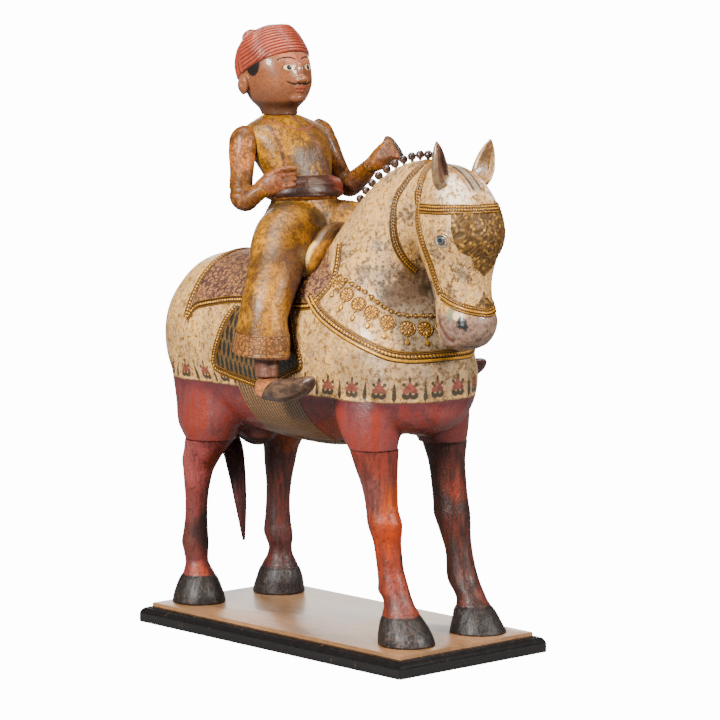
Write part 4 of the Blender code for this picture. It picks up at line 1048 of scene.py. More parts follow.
girth_paint = Paint("stitched_girth")
girth_along, girth_across = girth_paint.stored("along"), girth_paint.stored("across")
girth_speck = girth_paint.clouds(200.0, 4, 0.74)
girth_row = girth_along.wrapped(0.0078)
girth_stitch = (girth_across + girth_along * 0.8).wrapped(0.008)
girth_colour = girth_paint.coats(
    (104, 76, 48),
    (girth_speck.past(0.5, 0.15), (154, 120, 84)),
    (abs(girth_row).under(0.0012, 0.0008) * 0.8, (188, 148, 96)),
    (abs(girth_stitch).under(0.0022, 0.0012) * abs(girth_row).past(0.0012, 0.001) * girth_speck.past(0.36,
     0.2), (34, 25, 18)))
girth_finish = girth_paint.laid(girth_colour, girth_speck * 0.2 + 0.3, (girth_speck, 0.0008),
    coat=(0.2, 0.2))
slab("girth", girth_grid(), stitches, girth_finish, "cream_paint")
for side, word in ((-1, "right"), (1, "left")):
    slab("saddle_flap_" + word, flap_grid(side), leaves, flap_finish, "cream_paint")

cloth_rear = mm([
    (0, 268, 715), (-55, 268, 702), (-83, 267, 685), (-102, 267, 669), (-117, 266, 653),
    (-139, 267, 611), (-145, 269, 592)])
cloth_side = mm([
    (-145, 266, 594), (-139, 248, 616), (-135, 222, 624), (-133, 198, 628), (-131, 169, 633),
    (-130, 120, 638), (-132, 40, 638), (-136, -25, 637)])
cloth_front = mm([
    (-136, -25, 637), (-135, -55, 638), (-134, -76, 642), (-126, -90, 656), (-110, -104, 680),
    (-95, -106, 712), (-74, -92, 752)])
flap_path = [(-0.15, y, z) for z, y in flap_rear[:0:-1]] + [(-0.15, y, z) for y, z in flap_low[::-1][1:-1]]
flap_path += [(-0.15, y, z) for z, y in flap_front]
cloth_rows = [(-6.6, 1.6, 1.2, 0, 0), (-0.3, 5.6, 2.2, 6.8, 0), (6.4, 1.7, 1.2, 0, 0)]
flap_rows = [(-6.4, 1.5, 1.2, 0, 0), (-2.0, 4.4, 2.0, 5.6, 0), (2.8, 1.5, 1.1, 0, 0), (6.2, 1.6, 1.2, 0, 0)]
for name, paths, width, rows in (
        ("cloth_rear_border", over(cloth_rear), 0.016, cloth_rows),
        ("cloth_side_border", both(cloth_side), 0.0155, cloth_rows),
        ("cloth_front_border", both(cloth_front), 0.0155, cloth_rows),
        ("flap_border", both(flap_path), 0.015, flap_rows)):
    border = carving(name, [strap_form(path, width, rows, horse, ground=0.0014) for path in paths])
    fix(border, gold_finish, "gilt", "horse_body")


# Forehead plate and horse's eyes: a pointed plate with leaves in relief hangs from the brow band, a
# small ogee stands on the nose band, and the eyes are carved with their lids and painted.

def plate_grid(widths, depth, count, sides):
    """A plate on the face. In words: lines across the face between the plate's edges, whose half
    width is read from a table by height, bent back by eight times the square of the way across."""
    z = np.linspace(widths[-1][0], widths[0][0], count)[:, None]
    x = between_rows(z, widths) * np.linspace(-1, 1, sides)
    return np.stack([x, depth + 8.3 * x ** 2, z + np.zeros(sides)], axis=-1)


def foliage(along, across):
    """Curling leaves. In words: the sum of two slanting waves, bent by a slower one, with a rosette
    of rings in the middle."""
    sway = 2.4 * np.cos(across * 170) * np.sin(along * 150)
    net = np.cos(along * 330 + across * 260 + sway) + np.cos(along * 290 - across * 370 - 1.7 * sway)
    far = np.hypot(across, along - 0.05)
    middle = np.where(far < 0.015, 1.6 * np.cos(far * 2 * np.pi / 0.0075), net)
    return 0.0005 * np.tanh(1.3 * middle) + 0.0008


forehead_widths = mm([
    (820, 60), (812, 60.5), (792, 60), (772, 55.5), (756, 50), (751, 44), (747, 35), (740, 30),
    (730, 26.5), (722, 21), (712, 8), (706, 1)])
ogee_widths = mm([
    (681, 0.8), (675, 3), (669, 9), (663, 15), (656, 25), (651, 34)])
dark_gold = Paint("dark_gold")
dark_high = dark_gold.stored("high")
dark_grain, dark_wear = dark_gold.clouds(170.0, 5, 0.74), dark_gold.clouds(40.0, 5, 0.7)
dark_bead = dark_gold.cells(112.0) + (dark_grain - 0.5) * 0.3
dark_colour = dark_gold.coats(
    (112, 82, 42),
    (dark_high.past(0.8, 0.6) * 0.7, (178, 138, 78)),
    (dark_bead.under(0.3, 0.12) * 0.7, (204, 166, 92)),
    # Painted highlight: paler bead tops on the upper part of the plate only.
    (dark_bead.under(0.16, 0.08) * 0.6 * dark_gold.z.past(0.765, 0.03), (214, 186, 112)),
    (dark_bead.past(0.46, 0.1) * 0.5, (80, 52, 28)),
    (dark_wear.past(0.52, 0.14) * 0.6, (112, 74, 38)),
    (dark_grain.past(0.57, 0.08) * 0.6, (70, 42, 22)))
dark_finish = dark_gold.laid(dark_colour, dark_wear * 0.25 + 0.4, (dark_bead, -0.0006),
    (dark_grain, 0.0004), metal=0.15, coat=(0.04, 0.2), specular=0.15)
slab("forehead_plate", plate_grid(forehead_widths, -0.396, 150, 170), foliage, dark_finish, "gilt", 0.0006)
slab("nose_ogee", plate_grid(ogee_widths, -0.396, 40, 80), foliage, dark_finish, "gilt", 0.0012)


def eye_shape(far, turn):
    """An eye. In words: a domed eyeball, a gap round it, and a rounded lid that fades outwards."""
    ball = 0.0026 * ridge(far, 0.0, 0.95)
    lid = 0.0016 * ridge(far, 0.6, 0.24) + 0.0006 * ridge(far, 0.84, 0.16)
    return np.maximum(ball, lid) + 0 * turn


eye_paint = Paint("painted_eye")
up, wide = eye_paint.stored("along"), eye_paint.stored("across")
eye_far = up.reach(wide * 0.92)
lid_far = (up * 1.55).reach(wide)
eye_mottle = eye_paint.clouds(130.0, 5, 0.74)
eye_colour = eye_paint.coats(
    (216, 186, 142),
    (eye_mottle.past(0.52, 0.1), (152, 118, 76)),
    (up.under(-0.004, 0.01) * lid_far.between(0.01, 0.026, 0.006) * 0.6, (150, 160, 138)),
    (lid_far.under(0.0122, 0.001), (204, 190, 166)),
    (eye_far.under(0.009, 0.001), (44, 52, 60)),
    (eye_far.under(0.0064, 0.0008), (98, 110, 122)),
    (eye_far.under(0.004, 0.0006), (22, 28, 38)))
for line, thick in ((0.013, 0.0016), (0.0172, 0.0011), (0.0212, 0.0009)):
    eye_colour = eye_paint.mix(lid_far.between(line - thick, line + thick, 0.0008) * eye_mottle.under(0.56,
        0.1) * 0.8, eye_colour, (74, 70, 64))
eye_finish = eye_paint.laid(eye_colour, eye_mottle * 0.2 + 0.16, (eye_mottle, 0.0004), coat=(0.5, 0.08))
eyes = carving("horse_eyes", boss_forms(on_both([(-0.066, -0.348, 0.773)]), 0.022, eye_shape, horse, 40, 96,
    0.72, ground=0.0002))
fix(eyes, eye_finish, "cream_paint", "horse_body")


# Lower legs: four turned-and-carved posts with their hooves, pegged under the joints across the upper
# legs, painted red over orange and rubbed dark where hands have held them; the far pair is a darker red,
# partly its own paint and partly painted shade, and painted shade darkens the inner sides of the near
# pair; the hooves are black.

leg_front_right = mm([
    (384.7, -193, 44.5, 45.5, 47), (360, -197.5, 40, 40.5, 42), (321, -207, 33, 33.5, 34),
    (272, -215, 29.5, 31, 30), (253, -220, 31, 34, 31.5), (240, -223, 29.5, 31.5, 30),
    (221, -227, 25.5, 26.5, 26.5), (190, -232.5, 24, 25, 25), (170, -236, 24, 25, 25),
    (145, -243, 26, 27.5, 28.5), (133, -246, 27.5, 29, 31.5), (120, -254, 26.5, 27.5, 27),
    (106, -260, 28, 29, 28.5), (90, -264, 34.5, 37, 35), (74, -268, 42, 46, 42),
    (55, -274, 48.5, 53, 48.5), (38.3, -278, 51, 56, 52)])
leg_front_left = mm([
    (384.7, -188, 41.5, 44, 43), (350, -194, 34.5, 36, 35.5), (311, -200, 32.5, 33.5, 33),
    (270, -206.5, 32.5, 34, 33.5), (252, -209, 33.5, 35, 34.5), (230, -215, 30.5, 32, 31),
    (210.5, -220, 27.5, 28.5, 28), (181.5, -228, 25, 26, 25), (155, -234, 26.5, 27, 28),
    (141, -237, 28, 28.5, 30), (125, -243, 28.5, 30, 30), (110, -254, 27.5, 29, 27),
    (93, -263, 29, 32, 28), (77, -268, 37.5, 41, 37), (60, -273, 44, 48, 44), (38.3, -278, 52, 56, 52.5)])
leg_rear_right = mm([
    (357.7, 266, 45, 49, 50), (340, 278, 39.5, 44, 43), (312, 293, 33, 35.5, 39),
    (296, 299, 29, 30.5, 32), (274, 303, 25.5, 27, 27), (235, 306, 21.5, 22.2, 22.5),
    (195, 307.5, 21.8, 22.5, 22.8), (170, 309.5, 24, 24.5, 25.5), (154, 310, 25.5, 26.2, 28),
    (135, 308, 23.5, 24, 24), (117, 306, 22.2, 22.8, 22.5), (97, 301, 29, 30, 30),
    (83, 301, 37, 38.5, 38), (69, 301, 43, 44.5, 44), (50, 300, 49, 50.5, 50),
    (38.3, 300, 51.5, 52.5, 52)])
leg_rear_left = mm([
    (357.7, 260, 44, 48, 48), (330, 268, 35, 36.5, 37), (292, 273, 29.5, 30.5, 30.5),
    (250, 276.5, 24.2, 25, 25), (200, 279.5, 23.8, 24.5, 24.5), (175, 279.5, 25.8, 26.2, 27),
    (157, 278.5, 27.8, 28.5, 29), (142, 275, 26, 26.5, 25.5), (130, 273, 22.8, 23.5, 23),
    (113, 273, 25, 25.5, 25.5), (94, 274, 34.5, 35.5, 35), (80, 274.5, 41, 42, 41.5),
    (66, 275, 45.5, 46.5, 46), (50, 276.5, 49, 50, 50), (38.3, 277, 51, 52, 52)])


def swollen(form, by):
    """Rings grown about their own middles by a number at each point."""
    middle = form.mean(axis=1, keepdims=True)
    return middle + (form - middle) * by[..., None]


def leg_form(rows, x, hoof_top):
    """A leg and hoof. In words: rounded sections between the rows; they draw in by a few hundredths
    in a fine groove where the hoof begins, and knife marks ripple round the shank."""
    form = body_form([(x, y, z, 90, wide, front, back, 2, 2) for z, y, wide, front, back in rows], 190, 72)
    z, turn = form[..., 2], full_turn(72)
    groove = 0.03 * np.exp(-((z - hoof_top) / 0.002) ** 2)
    marks = 0.008 * np.cos(7 * turn + z * 60) * np.cos(z * 34 + x * 90) * np.clip((z - hoof_top) / 0.03, 0,
        1)
    marks += 0.006 * np.cos(17 * turn + 2 * np.sin(z * 90)) * (z < hoof_top)
    edge = np.clip((z - 0.0383) / 0.0022, 0, 1) ** 0.5 * 0.03 + 0.97
    return swollen(form, (1 - groove + marks) * edge)


def leg_paint(name, hoof_top, first, second, dark, dark_share, patches):
    """Red paint in upright strokes over a darker ground. A patch: a place and radius in
    millimetres, its colour and its share."""
    paint = Paint(name)
    stroke = paint.clouds(60.0, 5, 0.7, stretch=(2.2, 2.2, 0.2))
    rub = paint.clouds(26.0, 5, 0.64, stretch=(1.5, 1.5, 0.5))
    speck = paint.clouds(140.0, 5, 0.74)
    colour = paint.mix(stroke.past(0.5, 0.14), first, second)
    for *place, patch, share in patches:
        there = (paint.near(place, mirrored=False) + (rub - 0.5) * 0.7).past(0.3, 0.35)
        colour = paint.mix(there * share, colour, patch)
    hoof = (paint.z + (rub - 0.5) * 0.01).under(hoof_top, 0.0016)
    horn = paint.mix(rub.past(0.5, 0.3), (22, 18, 18), (46, 38, 35))
    horn = paint.mix(speck.past(0.6, 0.08) * 0.6, horn, (112, 82, 62))
    horn = paint.mix(speck.under(0.42, 0.06) * 0.5, horn, (14, 11, 11))
    horn = paint.mix(paint.near((-118, -305, 62, 40), mirrored=False).past(0.2, 0.5) * speck.past(0.5, 0.12)
        * 0.55, horn, (108, 86, 76))
    colour = paint.coats(
        colour,
        ((rub + stroke).math("MULTIPLY", 0.5).past(0.6 - 0.16 * dark_share, 0.12)
         * (0.35 + 0.6 * dark_share), dark),
        (speck.past(0.57, 0.1) * 0.6, dark),
        (speck.past(0.7, 0.06) * 0.4, (196, 130, 100)),
        (hoof, horn),
        (paint.z.under(0.0405, 0.0014) * 0.7, (30, 26, 24)))
    return paint.laid(colour, speck * 0.25 + 0.24, (stroke, 0.0014), (rub, 0.0022), (speck, 0.001),
        coat=(0.04, 0.2), specular=0.25)


for name, rows, x, hoof_top, finish, *paints in (
        ("leg_front_right", leg_front_right, -0.085, 0.09, "red_front_near",
         (168, 66, 40), (140, 58, 46), (66, 32, 26), 0.5, [
         (-78, -245, 280, 70, (0.36, 0.048, 0.003, 1.0), 1.0),
         (-78, -250, 225, 70, (0.33, 0.032, 0.002, 1.0), 1.0), (-118, -200, 310, 60, (140, 74, 70), 0.85),
         # (-58, -250, 180): painted shade on the inner side of the shank.
         (-90, -262, 165, 55, (0.23, 0.026, 0.008, 1.0), 0.9), (-58, -250, 180, 34, (58, 34, 30), 0.9),
         (-98, -280, 105, 30, (168, 92, 80), 0.7), (-85, -215, 385, 75, (160, 64, 50), 1.0)]),
        # Far foreleg: a darker red and more dark rubbing, partly its own darker paint and partly painted
        # shade.
        ("leg_front_left", leg_front_left, 0.095, 0.086, "red_front_far",
         (116, 44, 30), (90, 38, 32), (44, 26, 22), 0.75, [
         (80, -245, 300, 40, (0.24, 0.022, 0.003, 1.0), 0.9),
         (78, -235, 345, 32, (0.16, 0.02, 0.004, 1.0), 0.8), (100, -262, 160, 40, (128, 48, 30), 0.6),
         (105, -290, 110, 30, (150, 66, 54), 0.7), (95, -205, 380, 65, (118, 54, 50), 0.9)]),
        ("leg_rear_right", leg_rear_right, -0.092, 0.092, "red_rear_near",
         (158, 66, 58), (138, 66, 66), (64, 32, 34), 0.36, [
         (-126, 280, 320, 80, (184, 100, 96), 0.9), (-78, 245, 320, 50, (160, 50, 26), 0.9),
         # (-72, 290, 180): painted shade on the inner side of the shank.
         (-110, 325, 160, 70, (120, 56, 44), 0.8), (-72, 290, 180, 60, (64, 32, 30), 1.0),
         (-112, 275, 105, 30, (186, 88, 58), 0.8)]),
        # Far hind leg: a darker red and more dark rubbing, partly its own darker paint and partly painted
        # shade.
        ("leg_rear_left", leg_rear_left, 0.092, 0.09, "red_rear_far",
         (112, 44, 36), (82, 36, 34), (42, 26, 25), 0.6, [
         (80, 225, 345, 50, (160, 74, 40), 0.8), (100, 250, 170, 40, (120, 44, 32), 0.7)])):
    leg = skin("carved_" + name, [leg_form(rows, x, hoof_top)])
    fix(leg, leg_paint(finish, hoof_top, *paints), "red_paint", name, crisp=60.0)


# Tail: one long spike, carved apart and let into the rump, dark maroon.

tail_rows = mm([
    (0, 392, 610, 14, 18), (0, 412, 580, 14, 21), (0, 423, 535, 15, 25), (0, 416, 475, 15, 27),
    (0, 388, 425, 14, 28), (0, 345, 375, 15, 30), (0, 309, 330, 14, 25), (0, 294, 280, 12, 20),
    (0, 283, 220, 9, 13), (0, 274, 150, 2, 3)])
tail_form = limb_form(tail_rows, (0.0, 1.0, 0.0), 160, 72)
locks = np.cos(12 * full_turn(72) + 3 * np.sin(np.linspace(0, 6, 160))[:, None])
tail = skin("carved_tail", [swollen(tail_form, 0.975 + 0.025 * locks)])
tail_paint = leg_paint("tail_maroon", 0.0, (92, 36, 34), (66, 30, 32), (36, 22, 24), 0.35, [])
fix(tail, tail_paint, "red_paint", "tail")


# Ears: whittled apart and let into the poll, each with a hollow on its outer side; cream outside and
# reddish wood within, the hollow darkened by painted shade.

ear_rows = mm([
    (-38, -325, 860, 8, 10), (-47, -327, 874, 12, 19), (-53, -330, 890, 12, 22),
    (-58, -332, 910, 11, 19), (-63, -334, 930, 8, 12), (-66, -335, 942, 4, 5),
    (-67, -335, 947, 1.5, 1.5)])


def ear_form(rows, opening):
    """An ear. In words: a flattened limb whose offsets towards the opening are turned back by more
    than half between two lips, so that side is hollow except near the root and the tip."""
    form = limb_form(rows, opening, 90, 96)
    middle = form.mean(axis=1, keepdims=True)
    out = ((form - middle) * opening).sum(axis=-1, keepdims=True)
    side_way = np.abs(((form - middle) * np.cross([0.0, 0.0, 1.0], opening)).sum(axis=-1, keepdims=True))
    between_lips = np.clip((0.8 - side_way / (side_way.max(axis=1, keepdims=True) + 1e-6)) / 0.16, 0, 1)
    open_there = np.sin(np.pi * np.clip((form[..., 2:] - 0.872) / 0.07, 0, 1)) ** 0.6 * between_lips
    hollow = np.clip(out, 0, None) * 1.5 * open_there
    return form - hollow * opening, (np.clip(out, 0, None) * 100 * open_there)[..., 0]


for side, word, skin_tone, inner_tone in ((-1, "right", (158, 130, 94), (146, 96, 74)),
                                          (1, "left", (204, 174, 118), (186, 152, 106))):
    opening = unit(np.array([-side * 0.3, -0.95, 0.0]))
    form, within = ear_form(np.array(ear_rows) * [-side, 1, 1, 1, 1], opening)
    ear_paint = Paint("ear_paint_" + word)
    ear_blotch = ear_paint.clouds(60.0, 4, 0.6)
    ear_colour = ear_paint.coats(
        skin_tone,
        (ear_blotch.past(0.56, 0.12) * 0.6, (126, 104, 84)),
        # Reddish wood in the hollow, darker with painted shade.
        (ear_paint.stored("within").past(0.22, 0.3) * 0.9, inner_tone),
        (ear_paint.z.past(0.934, 0.012) * 0.8, (156, 84, 62)))
    ear_colour, ear_mottle, _ = ear_paint.aged(ear_colour, (96, 62, 34), 0.6)
    ear_finish = ear_paint.laid(ear_colour, ear_mottle * 0.2 + 0.24, (ear_mottle, 0.0009),
        (ear_blotch, 0.0012), coat=(0.3, 0.14))
    fix(skin("carved_ear_" + word, [form], {"within": [within]}), ear_finish, "cream_paint", "ear_" + word)


# Mane: eleven turned knobs on short necks, pegged in a row along the crest; dark stained beech.

def knob_form(place, radius=0.0078, count=46, sides=40):
    """A turned knob. In words: a neck flares into a ball that carries a fine bead at its waist, all
    spun about the way out of the crest."""
    rise = np.linspace(0, 1, count)
    ball = np.linspace(-0.86, 1.56, count - 10)
    profile = np.concatenate([np.stack([0.0035 - 0.0006 * np.sin(np.linspace(0, np.pi, 10)),
        np.linspace(0.0004, 0.0042, 10)]),
        np.stack([radius * np.cos(ball) * (1 + 0.03 * np.exp(-(ball / 0.1) ** 2)), 1.35 * radius + radius
        * np.sin(ball)])], axis=1)
    spot, out = laid_on(np.array([place]), horse)
    across = np.array([1.0, 0.0, 0.0])
    other = np.cross(out[0], across)
    turn = full_turn(sides)[:, None]
    circle = np.cos(turn) * across + np.sin(turn) * other
    return spot[0] + profile[0][:, None, None] * circle + profile[1][:, None, None] * out[0]


knob_paint = Paint("stained_beech")
knob_grain = knob_paint.clouds(300.0, 4, 0.65, stretch=(0.5, 1.0, 1.0))
knob_worn = knob_paint.clouds(120.0, 4, 0.6)
knob_colour = knob_paint.coats(
    (44, 28, 23),
    (knob_grain.past(0.5, 0.3), (82, 52, 40)),
    (knob_worn.past(0.58, 0.12) * 0.7, (128, 84, 60)))
knob_finish = knob_paint.laid(knob_colour, knob_worn * 0.2 + 0.16, (knob_grain, 0.0004), coat=(0.5, 0.08))
for number in range(1, 12):
    low, high = (np.array(corner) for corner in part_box(f"mane_bead_{number:02d}"))
    knob = skin(f"mane_knob_{number:02d}", [knob_form((low + high) / 2)])
    fix(knob, knob_finish, "ebonised", f"mane_bead_{number:02d}", crisp=40.0)


# Pommel: a gilt bow carved with a keel along its middle, set across the withers before the rider.

pommel_rows = mm([
    (-106, -20, 688, 6, 7), (-100, -22, 698, 13, 14), (-85, -21, 717, 17, 18), (-60, -16, 740, 17, 18),
    (-30, -4, 760, 16, 17), (0, 4, 768, 15, 16)])
pommel_rows = np.concatenate([pommel_rows, mirrored(pommel_rows)[-2::-1]])
pommel_form = limb_form(pommel_rows, (0.0, 1.0, 0.0), 170, 80)
pommel_turn = full_turn(80)
pommel_at = np.linspace(-1, 1, 170)[:, None]
flutes = 0.012 * np.cos(pommel_turn * 10) * (1 - pommel_at ** 2) + 0.05 * np.exp(-((np.abs(pommel_at)
    - 0.62) / 0.02) ** 2)
pommel = skin("gilt_pommel", [swollen(pommel_form, 0.985 + flutes)])
gilt = Paint("bright_gilt")
gilt_worn, gilt_speck = gilt.clouds(60.0, 5, 0.62), gilt.clouds(340.0, 4, 0.7)
# Painted highlight: brighter gold along the keel.
keel_highlight = abs(gilt.y + 0.028 - (0.106 - abs(gilt.x)) * 0.3).under(0.005, 0.006) * gilt.z.between(0.716,
    0.752, 0.012)
# Painted shadow: the side towards the rider is painted near black.
pommel_rear_shadow = gilt.y - (0.106 - abs(gilt.x)) * 0.3 + (gilt_worn - 0.5) * 0.006
gilt_colour = gilt.coats(
    (206, 160, 54),
    (gilt_worn.past(0.52, 0.2), (168, 114, 36)),
    (keel_highlight * 0.8, (0.84, 0.55, 0.16, 1.0)),
    (gilt_speck.past(0.6, 0.1) * 0.6, (112, 70, 32)),
    # Painted shade: darker at the foot of the bow.
    (gilt.z.under(0.704, 0.01) * 0.7, (96, 62, 30)),
    (pommel_rear_shadow.past(-0.002, 0.006) * 0.9, (40, 26, 18)),
    # Painted shade: the upper part is brown, under the rider's thigh.
    (gilt.z.past(0.752, 0.006) * 0.9, gilt.mix(gilt_speck.past(0.5, 0.1), (116, 78, 40), (70, 44, 26))))
gilt_finish = gilt.laid(gilt_colour, gilt_worn * 0.2 + 0.2, (gilt_speck, 0.0006), (gilt_worn, 0.0014),
    metal=0.1, coat=(0.06, 0.18))
fix(pommel, gilt_finish, "gilt", "pommel")


# Rider: hips, tunic, wide trousers and ankles are cut as one piece that sits astride the horse;
# ochre paint with a brown figured glaze, worn dark at the chest; painted shade darkens the lap,
# the insides of the legs and the lower far side, and a painted highlight runs down the trouser legs.

hips = mm([
    (0, 75, 680, 90, 104, 42, 64, 2, 2), (0, 80, 730, 90, 105, 50, 67, 2.2, 2.2),
    (0, 85, 775, 90, 97, 54, 73, 2.2, 2.2), (0, 90, 815, 90, 73, 53, 61, 2, 2)], 3, 7, 8)
torso = mm([
    (0, 90, 800, 90, 71, 56, 58, 2, 2), (0, 98, 835, 90, 67, 53, 55, 2, 2),
    (0, 111, 862, 90, 70, 54, 54, 2, 2), (0, 127, 895, 90, 80, 60, 55, 2.2, 2.2),
    (0, 139, 925, 90, 87, 61, 55, 2.3, 2.3), (0, 147, 944, 90, 90, 55, 51, 2.3, 2.3),
    (0, 153, 960, 90, 81, 45, 44, 2.2, 2.2), (0, 158, 970, 90, 58, 37, 37, 2, 2),
    (0, 161, 978, 90, 36, 33, 33, 2, 2)], 3, 7, 8)
thigh = mm([
    (-30, 80, 772, 50, 56), (-78, 53, 757, 60, 60), (-121, 26, 733, 60, 52), (-158, -3, 700, 53, 48),
    (-187, -19, 660, 46, 46), (-203, -22, 620, 43, 47), (-203, -20, 580, 47, 55),
    (-204, -17, 551, 49, 59)])
ankle = mm([
    (-204, -28, 580, 21, 22), (-204, -31, 545, 21, 22), (-204, -33, 510, 21, 23)])
rider = melt("carved_rider", [body_form(hips, 50), body_form(torso, 70),
    *(limb_form(rows, (rows[0][0], 0.0, 0.03), 90, 64) for table in (thigh, ankle)
      for rows in both(table))], 0.0028, 5)
pressed(rider, mm([
    (-30, 62, 925, 30, 2.2), (-105, -20, 745, 18, -2), (-150, 30, 655, 30, -2.5),
    (-230, -45, 640, 30, 1.5), (-60, 190, 910, 35, 2), (-128, 12, 770, 16, -1.8)]))
spots = points_of(rider)
spots[:, 2] = np.where(spots[:, 2] < 0.53, np.maximum(spots[:, 2], 0.5138), spots[:, 2])
reshape(rider, spots)

ochre = Paint("ochre_glaze")
x, y, z = ochre.x, ochre.y, ochre.z
cloud, vein = ochre.clouds(15.0, 5, 0.62), ochre.clouds(58.0, 3, 0.55, twist=1.4)
ochre_colour = ochre.coats(
    (194, 144, 32),
    (cloud.past(0.5, 0.2), (162, 108, 32)),
    (abs(vein - 0.5).under(0.02, 0.02) * 0.6, (116, 66, 34)),
    (cloud.under(0.43, 0.1) * 0.55, (208, 164, 48)),
    (cloud.past(0.57, 0.1) * 0.5, (130, 80, 42)))
ochre_colour, figure, _ = ochre.aged(ochre_colour, (88, 50, 18), 0.78)
streaks = ochre.clouds(60.0, 5, 0.7, stretch=(2.0, 2.0, 0.4))
wear = (ochre.near((-12, 75, 905, 52), (-4, 55, 860, 40), (30, 70, 880, 35), mirrored=False)
    + (streaks - 0.5) * 2.4)
# Painted shade: dark brown in the lap, under the sash and between the thighs.
lap_shade = (ochre.near((-30, 30, 780, 56), (-90, 75, 815, 60), (-130, 65, 740, 45), (20, -10, 730, 60),
    mirrored=False) + (figure - 0.5) * 1.6)
# Painted highlight: a pale streak down the front of each trouser leg.
paint_streak_and_highlight = (abs(y + 0.058 + (0.66 - z) * 0.05) - 0.011 + (streaks - 0.5) * 0.07).under(0.0,
    0.01) * z.between(0.595, 0.745, 0.02)
# Painted shade: darker brown on the insides of the trouser legs, against the horse.
inner = (abs(x) + (figure - 0.5) * 0.05).under(0.176, 0.018) * z.between(0.59, 0.745, 0.02)
front = y.under(0.135, 0.01)
armhole = abs(abs(x) - 0.06 - (z - 0.9) * 0.1)
opening = abs(x - 0.004 - (0.965 - z) * 0.3)
neckline = abs((x.reach((y - 0.15) * 0.9, (z - 0.985) * 1.15)) - 0.058)
shin = z.under(0.5505, 0.0012)
skin_streak = ochre.clouds(70.0, 4, 0.6, stretch=(2.5, 2.5, 0.2))
ankle_colour = ochre.mix(skin_streak.past(0.5, 0.3), (152, 98, 76), (100, 60, 46))
ochre_colour = ochre.coats(
    ochre_colour,
    # Painted shade: darker on the far side below the waist.
    ((x + (cloud - 0.5) * 0.2).past(0.035, 0.06) * 0.4 * z.under(0.82, 0.02), (104, 68, 32)),
    (wear.past(0.42, 0.3) * 0.85, (86, 58, 36)),
    (lap_shade.past(0.34, 0.3) * 0.85, (80, 58, 32)),
    (paint_streak_and_highlight * abs(x).under(0.236, 0.01) * abs(x).past(0.17, 0.01) * 0.2, ochre.mix(figure.past(0.5, 0.12),
     (216, 180, 108), (206, 150, 70))),
    (inner * 0.7, ochre.mix(streaks.past(0.5, 0.14), (118, 72, 44), (92, 56, 50))),
    (armhole.under(0.0034, 0.0016) * front * z.past(0.85, 0.01) * 0.8, ochre.mix(figure.past(0.48, 0.1),
     (166, 104, 76), (84, 44, 26))),
    ((opening + (figure - 0.5) * 0.02).under(0.005, 0.003) * front * z.past(0.862, 0.006) * 0.75,
     ochre.mix(figure.past(0.5, 0.1), (150, 98, 80), (88, 60, 48))),
    (neckline.under(0.002, 0.0012) * z.past(0.9, 0.01) * 0.8, (170, 96, 78)),
    (shin, ankle_colour))
fix(rider, ochre.laid(ochre_colour, figure * 0.25 + 0.22, (figure, 0.001), (cloud, 0.004), coat=(0.02, 0.2),
    specular=0.35), "ochre_paint", "rider_body")

# Trouser hems: a broad band round each leg, embossed with small curls and stained brown.
hem_height, hem_middle = 0.04, 0.573
hem_turn = np.linspace(0, 2 * np.pi, 61)
hem_path = np.stack([-0.2035 + 0.06 * np.sin(hem_turn), -0.0185 + 0.07 * np.cos(hem_turn), hem_middle
    + 0.0015 * np.cos(hem_turn)], axis=-1)
hem_rows = [(-18.6, 1.8, 0.9, 0, 0), (18.6, 1.8, 0.9, 0, 0)] + [(15.2, 1.0, 0.7, 0, 0), (-15.0, 1.0, 0.6, 0,
    0)]
hem_paint = Paint("embossed_hem")
hem_high, hem_grain = hem_paint.stored("high"), hem_paint.clouds(180.0, 5, 0.74)
hem_cloud = hem_paint.clouds(30.0, 4, 0.6)
hem_cell = hem_paint.cells(150.0) + (hem_grain - 0.5) * 0.25
hem_scroll = hem_cell.between(0.24, 0.42, 0.06).most(hem_cell.under(0.1, 0.05))
hem_colour = hem_paint.coats(
    (112, 70, 34),
    (hem_scroll * 0.8 + hem_high.past(1.1, 0.3) * 0.3, (206, 158, 88)),
    (hem_cloud.past(0.5, 0.3) * 0.3, (176, 116, 80)),
    (hem_grain.past(0.6, 0.14) * 0.5, (104, 66, 42)))
hem_finish = hem_paint.laid(hem_colour, hem_grain * 0.2 + 0.26, (hem_grain, 0.0005), (hem_scroll, 0.0007),
    coat=(0.15, 0.12), specular=0.3)
hems = carving("trouser_hems", [strap_form(path, hem_height, hem_rows, rider, ground=0.0008, fine=0.0013)
                                for path in both(hem_path)])
fix(hems, hem_finish, "ochre_paint", "rider_body")

# Sash: a red cloth wound round the waist in slanting folds, carved on the rider; a grey patch has
# worn through in front, and its far end has a small peg hole.
sash_rows = mm([
    (0, 95, 818, 88, 62, 50, 50, 2, 2), (0, 96, 825, 88, 76, 63, 63, 2, 2),
    (0, 99, 842, 88, 81, 67, 66, 2, 2), (0, 103, 858, 88, 77, 64, 62, 2, 2),
    (0, 106, 866, 88, 64, 52, 50, 2, 2)], 3, 7, 8)
sash_form = body_form(sash_rows, 90, 260)
sash_turn = full_turn(260)
sash_at = np.linspace(0, 1, 90)[:, None]
folds = 0.03 * np.abs(np.cos(sash_at * 9 + 1.2 * np.sin(sash_turn * 2 + 0.6))) ** 0.7 * np.sin(np.pi
    * sash_at)
sash = skin("wound_sash", [swollen(sash_form, 1.0 + folds - 0.016)])
sash_paint = Paint("worn_red_sash")
x, y, z = sash_paint.x, sash_paint.y, sash_paint.z
sash_cloud = sash_paint.clouds(34.0, 5, 0.66)
sash_colour = sash_paint.mix(sash_cloud.past(0.5, 0.2), (92, 42, 30), (50, 30, 22))
sash_colour, sash_mottle, _ = sash_paint.aged(sash_colour, (42, 24, 20), 0.6)
